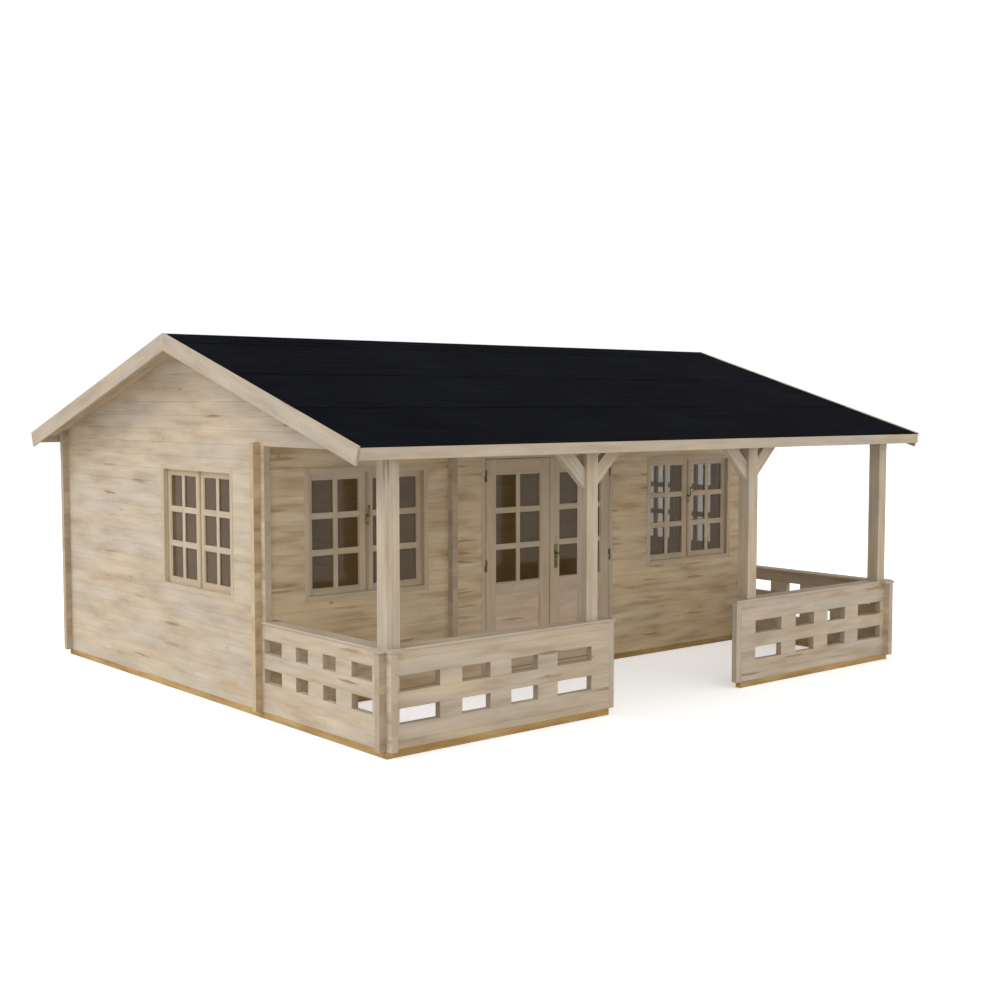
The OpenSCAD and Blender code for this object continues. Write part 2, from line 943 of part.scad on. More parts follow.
side_base_beams();
cross_base_beams();
floor_joists();
floor_boards();
back_wall();
left_wall();
right_wall();
front_wall_left();
front_wall_right();
front_wall_over_door();
inner_wall();
left_gable();
right_gable();
front_left_balustrade();
front_right_balustrade();
left_side_balustrade();
right_side_balustrade();
balustrade_end_posts();
balustrade_caps();
porch_posts();
post_braces();
porch_beam();
ridge_purlin();
side_purlins();
front_roof_boards();
back_roof_boards();
front_roof_felt();
back_roof_felt();
left_barge_boards();
right_barge_boards();
front_fascia();
back_fascia();
window_frames();
window_sashes();
window_glass();
door_frame();
frame_hinges();
left_door();
left_door_glass();
left_door_hinges();
right_door();
right_door_glass();
right_door_hinges();
door_handle_plates();
door_lever();
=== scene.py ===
"""Looks of a log cabin with a roofed porch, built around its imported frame.

Lengths are in metres. +X runs along the ridge, +Y from the porch to the back wall, +Z up.
"""

import json
import logging
import math
import random
from collections.abc import Iterable, Sequence
from dataclasses import dataclass, field
from enum import Enum

import bmesh
import bpy
from mathutils import Matrix, Vector


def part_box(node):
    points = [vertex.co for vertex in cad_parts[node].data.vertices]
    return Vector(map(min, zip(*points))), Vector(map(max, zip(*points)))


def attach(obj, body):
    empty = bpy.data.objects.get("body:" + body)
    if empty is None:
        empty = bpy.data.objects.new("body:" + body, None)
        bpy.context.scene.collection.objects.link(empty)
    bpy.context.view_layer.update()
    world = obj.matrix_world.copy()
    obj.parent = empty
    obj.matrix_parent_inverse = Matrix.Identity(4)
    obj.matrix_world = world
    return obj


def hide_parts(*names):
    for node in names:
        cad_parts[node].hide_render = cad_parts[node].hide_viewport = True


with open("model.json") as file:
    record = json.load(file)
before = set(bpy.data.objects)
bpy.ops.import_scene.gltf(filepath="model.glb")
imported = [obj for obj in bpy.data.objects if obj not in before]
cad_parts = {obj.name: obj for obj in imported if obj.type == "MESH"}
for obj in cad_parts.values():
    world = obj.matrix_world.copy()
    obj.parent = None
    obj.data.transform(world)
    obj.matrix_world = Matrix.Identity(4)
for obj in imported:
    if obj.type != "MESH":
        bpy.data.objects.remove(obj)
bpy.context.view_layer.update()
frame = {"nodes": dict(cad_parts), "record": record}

log = logging.getLogger("cabin")

Colour = tuple[float, float, float]
Socket = bpy.types.NodeSocket
Material = bpy.types.Material
Mesh = bmesh.types.BMesh
Box = tuple[Vector, Vector]
X, Y, Z = 0, 1, 2

CABIN = "cabin"


def linear(red: int, green: int, blue: int) -> Colour:
    """Turns a screen colour into a linear one.

    Args:
        red: Red from 0 to 255.
        green: Green from 0 to 255.
        blue: Blue from 0 to 255.

    Returns:
        The colour as Blender's sockets take it.
    """
    def channel(value: int) -> float:
        """One channel, from the screen's curve to a linear share."""
        share = value / 255
        return share / 12.92 if share <= 0.04045 else ((share + 0.055) / 1.055) ** 2.4
    return channel(red), channel(green), channel(blue)


# ---------------------------------------------------------------- node trees


class Tree:
    """The node tree of one material or world, with a short call for each kind of node."""

    def __init__(self, name: str, kind: str = "materials") -> None:
        """Starts an empty material of that name, or another kind of Blender's data with nodes."""
        self.owner = getattr(bpy.data, kind).new(name)
        self.owner.use_nodes = True
        self.nodes = self.owner.node_tree.nodes
        self.links = self.owner.node_tree.links
        self.nodes.clear()

    def add(self, kind: str, inputs: dict | None = None, **settings: object) -> bpy.types.Node:
        """Adds a node.

        Args:
            kind: Blender's name for the node's type.
            inputs: Sockets to link, or values to set, by the input's name or place.
            settings: The node's own settings.

        Returns:
            The new node.
        """
        node = self.nodes.new(kind)
        for name, value in settings.items():
            setattr(node, name, value)
        for name, value in (inputs or {}).items():
            if isinstance(value, bpy.types.NodeSocket):
                self.links.new(value, node.inputs[name])
            else:
                node.inputs[name].default_value = value
        return node

    def math(self, operation: str, *values: Socket | float) -> Socket:
        """Adds a Math node.

        Args:
            operation: The operation's name.
            values: Its inputs, in order.

        Returns:
            The result.
        """
        node = self.add("ShaderNodeMath", dict(enumerate(values)), operation=operation)
        return node.outputs[0]

    def place(self, source: str = "Object") -> Socket:
        """The surface's coordinates of one kind."""
        return self.add("ShaderNodeTexCoord").outputs[source]

    def axes(self, vector: Socket) -> bpy.types.bpy_prop_collection:
        """The three numbers of a vector."""
        return self.add("ShaderNodeSeparateXYZ", {0: vector}).outputs

    def vector(self, x: Socket | float, y: Socket | float, z: Socket | float = 0.0) -> Socket:
        """A vector from three numbers."""
        return self.add("ShaderNodeCombineXYZ", {0: x, 1: y, 2: z}).outputs[0]

    def chance(self, *keys: Socket | float) -> Socket:
        """A number from 0 to 1 that depends on up to three keys."""
        key = self.vector(*keys) if len(keys) > 1 else self.vector(keys[0], 0.0)
        return self.add("ShaderNodeTexWhiteNoise", {"Vector": key}, noise_dimensions="3D").outputs["Value"]

    def noise(self, vector: Socket, scale: float, detail: float = 2.0, roughness: float = 0.5) -> Socket:
        """A smooth random field.

        Args:
            vector: Where it is read.
            scale: Its waves for each unit of the vector.
            detail: How many finer waves are added.
            roughness: How strong the finer waves are.

        Returns:
            The field, about 0.5 on average.
        """
        inputs = {"Vector": vector, "Scale": scale, "Detail": detail, "Roughness": roughness}
        return self.add("ShaderNodeTexNoise", inputs).outputs["Fac"]

    def step(self, value: Socket, low: float, high: float) -> Socket:
        """A smooth step of the value, 0 at low and 1 at high, whichever is the larger."""
        inputs = {"Value": value, "From Min": low, "From Max": high}
        return self.add("ShaderNodeMapRange", inputs, interpolation_type="SMOOTHSTEP").outputs["Result"]

    def scale(self, value: Socket, low: float, high: float) -> Socket:
        """A value from 0 to 1, turned into one from low to high."""
        return self.math("MULTIPLY_ADD", value, high - low, low)

    def ramp(self, value: Socket, colours: Sequence[Colour]) -> Socket:
        """Picks a colour by a value from 0 to 1, evenly between those given."""
        node = self.add("ShaderNodeValToRGB", {"Fac": value})
        stops = node.color_ramp.elements
        while len(stops) < len(colours):
            stops.new(1.0)
        for index, colour in enumerate(colours):
            stops[index].position = index / (len(colours) - 1)
            stops[index].color = (*colour, 1.0)
        return node.outputs["Color"]

    def mix(self, share: Socket | float, first: object, second: object, blend: str = "MIX") -> Socket:
        """Mixes two colours.

        Args:
            share: How much of the second one shows.
            first: A socket or a colour.
            second: A socket or a colour.
            blend: How they mix.

        Returns:
            The mixed colour.
        """
        node = self.add("ShaderNodeMix", data_type="RGBA", blend_type=blend)
        for name, value in ((0, share), (6, first), (7, second)):
            if isinstance(value, bpy.types.NodeSocket):
                self.links.new(value, node.inputs[name])
            else:
                node.inputs[name].default_value = (*value, 1.0) if isinstance(value, tuple) else value
        return node.outputs[2]

    def tinted(self, colour: Socket, tint: Socket | Colour) -> Socket:
        """A colour times another one."""
        return self.mix(1.0, colour, tint, "MULTIPLY")

    def shade(self, colour: Socket, share: Socket) -> Socket:
        """Darkens or lightens a colour by a factor."""
        return self.tinted(colour, self.vector(share, share, share))

    def bump(self, height: Socket, depth: float, strength: float = 1.0) -> Socket:
        """A normal from a height field, with the depth in metres of its full range."""
        inputs = {"Height": height, "Distance": depth, "Strength": strength}
        return self.add("ShaderNodeBump", inputs).outputs["Normal"]

    def seen(self) -> Socket:
        """1 for the rays that show the background: the camera's, reflections, and those through glass."""
        rays = self.add("ShaderNodeLightPath").outputs
        seen = rays["Is Camera Ray"]
        for kind in ("Is Glossy Ray", "Is Transmission Ray"):
            seen = self.math("MAXIMUM", seen, rays[kind])
        return seen

    def finish(self, inputs: dict) -> Material:
        """Ends the tree with a Principled shader that has these inputs."""
        shader = self.add("ShaderNodeBsdfPrincipled", inputs)
        self.add("ShaderNodeOutputMaterial", {"Surface": shader.outputs[0]})
        return self.owner


# ---------------------------------------------------------------- finishes


class Grain(Enum):
    """Where a wood finish takes its directions from: two room axes, or the piece's own map."""

    ALONG_X = (X, Z, Y)
    ALONG_Y = (Y, Z, X)
    MAP = (X, Y, Z)


def tones(*levels: tuple[int, int, int]) -> tuple[Colour, ...]:
    """Linear colours from screen colours."""
    return tuple(linear(*level) for level in levels)


SPRUCE_TONES = tones((172, 153, 129), (186, 170, 148), (193, 178, 157), (198, 184, 164), (206, 191, 170))
PORCH_TONES = tones((156, 132, 104), (180, 162, 137), (193, 177, 153), (200, 185, 163), (212, 196, 174))
TRIM_TONES = tones((170, 155, 135), (180, 166, 147), (186, 171, 151), (191, 177, 157))
TREATED_TONES = tones((156, 122, 71), (171, 139, 86), (180, 149, 95), (192, 162, 109))
END_TONES = tones((172, 154, 131), (190, 173, 150), (181, 165, 143))


@dataclass(frozen=True)
class Mark:
    """Brown marks that are scattered over a wood, one at most in each cell of a loose grid.

    Attributes:
        colour: Their colour.
        cells: Cells for each metre along the grain and across it.
        edge: Distance from a mark's middle at which it starts to show, in cells.
        centre: Distance within which it shows in full, in cells.
        cover: How much of the wood's colour it hides at most.
    """

    colour: Colour
    cells: tuple[float, float]
    edge: float
    centre: float
    cover: float


STREAK = Mark(linear(140, 106, 74), (1.6, 19.0), 0.32, 0.12, 0.75)
KNOT = Mark(linear(118, 86, 58), (6.0, 15.0), 0.2, 0.08, 0.6)
WOOD_IOR = 1.45


def rings(tree: Tree, up: Socket, side: Socket, tone: Socket) -> Socket:
    """Colours of end grain.

    Args:
        tree: The tree to add to.
        up: Distance from the pith one way.
        side: Distance from the pith the other way.
        tone: A number from 0 to 1 for the log's own tone.

    Returns:
        The colour.
    """
    radius = tree.math("SQRT", tree.math("ADD", tree.math("POWER", up, 2.0), tree.math("POWER", side, 2.0)))
    rough = tree.noise(tree.vector(up, side, tone), 45.0, 3.0)
    wave = tree.math("SINE", tree.math("MULTIPLY_ADD", rough, 2.5, tree.math("MULTIPLY", radius, 1500.0)))
    colour = tree.shade(tree.ramp(tone, END_TONES), tree.scale(wave, 0.96, 1.04))
    return tree.shade(colour, tree.scale(rough, 0.82, 1.14))


@dataclass(frozen=True)
class Wood:
    """Sawn softwood with lamellas, soft clouds of colour, grain, streaks and small knots.

    Attributes:
        name: The material's name.
        grain: Where the directions come from.
        tones: Its colours from dark to pale, for soft clouds drawn out along the grain.
        contrast: How far the tones stand apart, 0 for one even colour.
        tint: Multiplies the colour.
        hues: Tints that change slowly over the wood.
        lamella: Height of a lamella.
        course: Height of one log, with a fine joint between two.
        start: Height of any joint.
        joint: How far the joints are darkened.
        core: Middle of the wall across its thickness, for the rings of the log ends.
        reach: Outer faces of the cross walls, past which the log ends get painted shade.
        seed: Makes one wall's pattern different from another's.
        streaks: Share of the places for brown streaks that hold one.
        knots: Share of the places for small knots that hold one.
        stub_tint: Painted shade: multiplies the colour of the log ends past the cross walls.
        roughness: How matt its faces are.
    """

    name: str
    grain: Grain = Grain.MAP
    tones: tuple[Colour, ...] = SPRUCE_TONES
    contrast: float = 0.6
    tint: Colour = (1.0, 1.0, 1.0)
    hues: tuple[Colour, ...] = ((0.97, 1.0, 1.05), (1.03, 1.0, 0.94))
    lamella: float = 0.06
    course: float = 0.12
    start: float = 0.0
    joint: float = 0.0
    core: float = 0.0
    reach: tuple[float, float] | None = None
    seed: float = 0.0
    streaks: float = 0.05
    knots: float = 0.008
    stub_tint: Colour = (0.98, 0.96, 0.93)
    roughness: float = 0.7

    def build(self) -> Material:
        """Builds the material.

        Returns:
            The finished material.
        """
        tree = Tree(self.name)
        mapped = self.grain is Grain.MAP
        axes = tree.axes(tree.place("UV" if mapped else "Object"))
        along, across, depth = spot = tuple(axes[axis] for axis in self.grain.value)
        lamella = self._lamella(tree, along, across)

        clouds = tree.noise(self._stretched(tree, spot, 1.9, 11.0), 1.0, 2.5)
        colour = tree.mix(self.contrast, self._mean(), tree.ramp(tree.step(clouds, 0.27, 0.73), self.tones))
        hues = tree.noise(self._stretched(tree, spot, 0.9, 4.5), 1.0, 2.0)
        colour = tree.tinted(colour, tree.ramp(tree.step(hues, 0.3, 0.7), self.hues))

        broad = tree.noise(self._stretched(tree, spot, 1.7, 38.0, lamella), 1.0, 2.0)
        fine = tree.noise(self._stretched(tree, spot, 5.0, 260.0, lamella), 1.0, 3.0, 0.6)
        for pattern, swing in ((lamella, 0.05), (broad, 0.14)):
            share = swing * self.contrast
            colour = tree.shade(colour, tree.scale(pattern, 1.0 - share, 1.0 + share))
        colour = tree.shade(colour, tree.scale(fine, 0.91, 1.08))

        colour = self._marks(tree, colour, spot)
        if self.joint:
            colour = self._joints(tree, colour, across)
        # Painted shade on the log ends past the cross walls, standing in for the shade in the nooks at the
        # corners.
        if self.reach:
            colour = self._paint_stub_shade(tree, colour, along, across)
        if not mapped:
            facing = tree.math("ABSOLUTE", tree.axes(tree.place("Normal"))[self.grain.value[0]])
            colour = tree.mix(tree.step(facing, 0.8, 0.95), colour, self._ends(tree, across, depth))
        relief = tree.math("ADD", tree.math("MULTIPLY", fine, 0.6), tree.math("MULTIPLY", broad, 0.4))
        return tree.finish({
            "Base Color": tree.tinted(colour, self.tint), "Roughness": self.roughness,
            "Normal": tree.bump(relief, 0.001, 0.4), "IOR": WOOD_IOR,
        })

    def _mean(self) -> Colour:
        """The middle of the tones."""
        count = len(self.tones)
        return tuple(sum(tone[channel] for tone in self.tones) / count for channel in range(3))

    def _count(self, tree: Tree, across: Socket, height: float) -> Socket:
        """Height over the lowest joint, in logs or lamellas of that height."""
        return tree.math("DIVIDE", tree.math("SUBTRACT", across, self.start), height)

    def _lamella(self, tree: Tree, along: Socket, across: Socket) -> Socket:
        """A random tone for each lamella, cut to random lengths."""
        strip = tree.math("FLOOR", self._count(tree, across, self.lamella))
        first = tree.chance(strip, self.seed, 1.0)
        length = tree.scale(tree.chance(strip, self.seed, 2.0), 0.35, 1.1)
        place = tree.math("ADD", tree.math("DIVIDE", along, length), tree.math("MULTIPLY", first, 9.0))
        return tree.chance(strip, tree.math("FLOOR", place), self.seed)

    def _stretched(self, tree: Tree, spot: tuple[Socket, ...], length: float, width: float,
                   tone: Socket | None = None) -> Socket:
        """Coordinates for a pattern that is drawn out along the grain, shifted lamella by lamella.

        Args:
            tree: The tree to add to.
            spot: Places along the grain, across it and in depth.
            length: The pattern's waves for each metre along the grain.
            width: Its waves for each metre across.
            tone: The lamella's own number, or None for one pattern over all.

        Returns:
            The coordinates.
        """
        along, across, depth = spot
        shift = tree.math("MULTIPLY", tone, 37.0) if tone else self.seed
        return tree.vector(
            tree.math("MULTIPLY_ADD", along, length, shift),
            tree.math("MULTIPLY_ADD", across, width, shift),
            tree.math("MULTIPLY_ADD", depth, width, self.seed),
        )

    def _marks(self, tree: Tree, colour: Socket, spot: tuple[Socket, ...]) -> Socket:
        """Lays brown streaks and small knots on a colour, with soft edges."""
        along, across, _ = spot
        wander = tree.noise(self._stretched(tree, spot, 3.0, 9.0), 1.0, 2.0)
        for number, (mark, share) in enumerate(((STREAK, self.streaks), (KNOT, self.knots))):
            length, width = mark.cells
            place = tree.vector(
                tree.math("MULTIPLY_ADD", along, length, self.seed + 3.7 * number),
                tree.math("MULTIPLY_ADD", across, width, tree.math("MULTIPLY", wander, 1.1)),
            )
            cells = tree.add("ShaderNodeTexVoronoi", {"Vector": place, "Scale": 1.0}, voronoi_dimensions="2D")
            chance = tree.add("ShaderNodeSeparateColor", {0: cells.outputs["Color"]}).outputs
            level = tree.scale(chance[1], 0.4, 1.0)
            chosen = tree.math("MULTIPLY", tree.math("LESS_THAN", chance[0], share), level)
            near = tree.step(cells.outputs["Distance"], mark.edge, mark.centre)
            cover = tree.math("MULTIPLY", tree.math("MULTIPLY", near, chosen), mark.cover)
            colour = tree.mix(cover, colour, mark.colour)
        return colour

    def _joints(self, tree: Tree, colour: Socket, across: Socket) -> Socket:
        """Darkens the joints between the logs."""
        place = self._count(tree, across, self.course)
        gap = tree.math("MULTIPLY", tree.math("PINGPONG", place, 0.5), self.course)
        return tree.shade(colour, tree.scale(tree.step(gap, 0.0005, 0.004), 1.0 - self.joint, 1.0))

    def _paint_stub_shade(self, tree: Tree, colour: Socket, along: Socket, across: Socket) -> Socket:
        """Paints shade on the log ends that stand past the cross walls, as in the nooks at the corners, at a
        random level log by log.
        """
        low, high = self.reach
        number = tree.math("FLOOR", self._count(tree, across, self.course))
        level = tree.scale(tree.chance(number, self.seed, 5.0), 0.88, 1.1)
        before, beyond = tree.math("LESS_THAN", along, low), tree.math("GREATER_THAN", along, high)
        past = tree.math("MAXIMUM", before, beyond)
        brown = tree.shade(tree.tinted(colour, self.stub_tint), level)
        return tree.mix(past, colour, brown)

    def _ends(self, tree: Tree, across: Socket, depth: Socket) -> Socket:
        """End grain: rings round a pith near the middle of each log."""
        place = self._count(tree, across, self.course)
        number = tree.math("FLOOR", place)
        within = tree.math("SUBTRACT", place, number)
        up = tree.math("MULTIPLY", tree.math("SUBTRACT", within, 0.5), self.course)
        pith = tree.scale(tree.chance(number, self.seed, 7.0), -0.05, 0.05)
        side = tree.math("ADD", tree.math("SUBTRACT", depth, self.core), pith)
        return rings(tree, up, side, tree.chance(number, self.seed, 8.0))


@dataclass(frozen=True)
class EndGrain:
    """The sawn end of a board or bar, on the piece's own map, whose zero is the pith.

    Attributes:
        name: The material's name.
    """

    name: str

    def build(self) -> Material:
        """Builds the material."""
        tree = Tree(self.name)
        axes = tree.axes(tree.place("UV"))
        tone = tree.chance(tree.math("FLOOR", tree.math("MULTIPLY", axes[X], 7.0)), 4.0, 0.0)
        colour = rings(tree, axes[X], axes[Y], tone)
        return tree.finish({"Base Color": colour, "Roughness": 0.8, "IOR": WOOD_IOR})


@dataclass(frozen=True)
class Felt:
    """Black roofing felt with mineral grains.

    Attributes:
        name: The material's name.
        dark: The colour between the grains.
        light: The colour of the palest grains.
    """

    name: str = "mineral_felt"
    dark: Colour = linear(4, 5, 8)
    light: Colour = linear(34, 36, 43)

    def build(self) -> Material:
        """Builds the material."""
        tree = Tree(self.name)
        place = tree.place()
        axes = tree.axes(place)
        grains = tree.add("ShaderNodeTexVoronoi", {"Vector": place, "Scale": 420.0})
        grey = tree.add("ShaderNodeSeparateColor", {0: grains.outputs["Color"]}).outputs[0]
        streaks = tree.noise(tree.vector(tree.math("MULTIPLY", axes[X], 0.06), axes[Y], axes[Z]), 24.0, 3.0)
        blotches = tree.noise(place, 1.3, 3.0)
        level = tree.math("MULTIPLY", tree.math("POWER", grey, 3.0), 0.55)
        for pattern, low, high, share in ((streaks, 0.42, 0.75, 0.2), (blotches, 0.4, 0.7, 0.1)):
            level = tree.math("MULTIPLY_ADD", tree.step(pattern, low, high), share, level)
        colour = tree.mix(level, self.dark, self.light)
        normal = tree.bump(tree.math("ADD", grains.outputs["Distance"], blotches), 0.001, 0.6)
        return tree.finish({
            "Base Color": colour, "Roughness": 0.95, "Normal": normal, "IOR": 1.4, "Specular IOR Level": 0.02,
        })


@dataclass(frozen=True)
class TintedGlass:
    """Brown tinted window glass, thin and see-through.

    Attributes:
        name: The material's name.
        tint: The glass's own colour.
        haze: The same where it is darker.
        cover: How much of what is behind each face is held back.
    """

    name: str = "tinted_glass"
    tint: Colour = linear(123, 98, 62)
    haze: Colour = linear(107, 83, 50)
    cover: float = 0.4

    def build(self) -> Material:
        """Builds the material."""
        tree = Tree(self.name)
        place = tree.place()
        haze = tree.noise(place, 1.6, 2.0)
        colour = tree.mix(tree.step(haze, 0.3, 0.7), self.tint, self.haze)
        normal = tree.bump(tree.noise(place, 3.0, 1.0), 0.0006, 0.25)
        material = tree.finish(
            {"Base Color": colour, "Roughness": 0.04, "Normal": normal, "Alpha": self.cover, "IOR": 1.5}
        )
        material.surface_render_method = "BLENDED"
        return material


@dataclass(frozen=True)
class Metal:
    """Worn metal of hinges, handles, screws and nails.

    Attributes:
        name: The material's name.
        clean: The colour where it is rubbed.
        worn: The colour where it has gone dull.
        roughness: How dull the clean metal is.
        metallic: How bare the metal is, less where it is painted.
        wear: How much duller the worn metal is.
    """

    name: str
    clean: Colour
    worn: Colour
    roughness: float = 0.34
    metallic: float = 1.0
    wear: float = 0.22

    def build(self) -> Material:
        """Builds the material."""
        tree = Tree(self.name)
        place = tree.place()
        patches = tree.step(tree.noise(place, 40.0, 4.0, 0.6), 0.35, 0.7)
        colour = tree.mix(patches, self.clean, self.worn)
        rough = tree.scale(patches, self.roughness, self.roughness + self.wear)
        normal = tree.bump(tree.noise(place, 220.0, 2.0), 0.0002, 0.4)
        return tree.finish({
            "Base Color": colour, "Metallic": self.metallic, "Roughness": rough, "Normal": normal,
        })


def made(finish: object) -> Material:
    """A field of a dataclass that holds a finish, built when the dataclass is."""
    return field(default_factory=finish.build)


@dataclass
class Finishes:
    """Every material that more than one sub-assembly uses, built once."""

    floor: Material = made(Wood("floor_spruce", lamella=0.4, contrast=0.8))
    # Painted shade: the roof boards get a darker, browner tint, which darkens the underside of the roof as
    # shade would.
    shaded_boarding: Material = made(Wood("shaded_roof_boarding", lamella=0.4, contrast=0.8, tint=(0.84, 0.77, 0.66)))
    spruce_end: Material = made(EndGrain("spruce_end"))
    timber: Material = made(
        Wood("laminated_timber", lamella=0.04, course=0.04, joint=0.2, tint=(0.92, 0.92, 0.92), streaks=0.03)
    )
    joinery: Material = made(
        Wood("joinery", lamella=0.2, contrast=0.5, tint=(1.0, 0.985, 0.94), streaks=0.0, knots=0.0)
    )
    panel: Material = made(Wood("door_panel", lamella=0.3, contrast=0.6, tint=(1.14, 1.08, 1.07)))
    # The cover strips are real pieces, but their dark tint is painted shade standing in for the shaded gap
    # between the sashes.
    strip: Material = made(Wood("shaded_cover_strip", lamella=0.3, contrast=0.5, tint=(0.74, 0.68, 0.58)))
    trim: Material = made(Wood("trim_spruce", tones=TRIM_TONES, lamella=0.6, contrast=0.8, streaks=0.04))
    treated: Material = made(Wood("treated_wood", tones=TREATED_TONES, lamella=0.3, contrast=1.0))
    felt: Material = made(Felt())
    glass: Material = made(TintedGlass())
    brass: Material = made(Metal("aged_brass", linear(132, 122, 78), linear(72, 72, 42)))
    bronze: Material = made(
        Metal("dark_bronze", linear(128, 113, 90), linear(98, 85, 66), 0.5, metallic=0.3)
    )
    blued: Material = made(Metal("blued_steel", linear(34, 35, 38), linear(20, 21, 24), 0.7))
    zinc: Material = made(Metal("zinc", linear(150, 152, 154), linear(96, 98, 100), 0.45))


# ---------------------------------------------------------------- pieces


def solids(node: str) -> list[Box]:
    """The boxes of a CAD node's solids.

    Args:
        node: The node's name.

    Returns:
        The lowest and highest corner of each solid, sorted by place.
    """
    mesh = bmesh.new()
    mesh.from_mesh(frame["nodes"][node].data)
    bmesh.ops.remove_doubles(mesh, verts=mesh.verts, dist=1e-5)
    left = set(mesh.verts)
    boxes = []
    while left:
        group, waiting = [], [left.pop()]
        while waiting:
            vertex = waiting.pop()
            group.append(vertex.co.copy())
            near = {edge.other_vert(vertex) for edge in vertex.link_edges} & left
            left -= near
            waiting.extend(near)
        low = Vector(min(point[axis] for point in group) for axis in range(3))
        high = Vector(max(point[axis] for point in group) for axis in range(3))
        boxes.append((low, high))
    mesh.free()
    return sorted(boxes, key=lambda box: tuple(round(value, 3) for value in box[0]))


def dress(node: str, material: Material) -> None:
    """Gives a CAD node its finish.

    Args:
        node: The node's name.
        material: The finish.
    """
    piece = frame["nodes"][node]
    piece.data.materials.clear()
    piece.data.materials.append(material)
    log.info("dressed %s with %s", node, material.name)


def spread(start: float, end: float, count: int) -> list[float]:
    """Evenly spaced places, both ends included."""
    return [start + index * (end - start) / (count - 1) for index in range(count)]


def shares(start: float, end: float, width: float) -> list[tuple[float, float]]:
    """Start and end of each board that fills a length, all of one width near the given one."""
    count = round((end - start) / width)
    width = (end - start) / count
    return [(start + index * width, start + index * width + width) for index in range(count)]


def add_block(mesh: Mesh, low: Sequence[float], high: Sequence[float]) -> list[bmesh.types.BMVert]:
    """Adds a box to a mesh.

    Args:
        mesh: The mesh.
        low: The box's lowest corner.
        high: Its highest corner.

    Returns:
        Its vertices.
    """
    low, high = Vector(low), Vector(high)
    verts = bmesh.ops.create_cube(mesh, size=1.0)["verts"]
    fit = Matrix.Translation((low + high) / 2) @ Matrix.Diagonal((*(high - low), 1))
    bmesh.ops.transform(mesh, matrix=fit, verts=verts)
    return verts


def runs(edge: bmesh.types.BMEdge, axis: int) -> bool:
    """Whether an edge has any length along an axis."""
    return abs((edge.verts[0].co - edge.verts[1].co)[axis]) > 1e-6


def soften(mesh: Mesh, edges: Iterable[bmesh.types.BMEdge], offset: float, segments: int = 2) -> None:
    """Rounds edges off."""
    bmesh.ops.bevel(
        mesh, geom=list(edges), offset=offset, offset_type="OFFSET", segments=segments, profile=0.5,
        affect="EDGES", material=-1,
    )


def merge(part: Mesh, target: Mesh) -> None:
    """Moves a part's mesh into another mesh, and frees it."""
    scratch = bpy.data.meshes.new("scratch")
    part.to_mesh(scratch)
    part.free()
    target.from_mesh(scratch)
    bpy.data.meshes.remove(scratch)


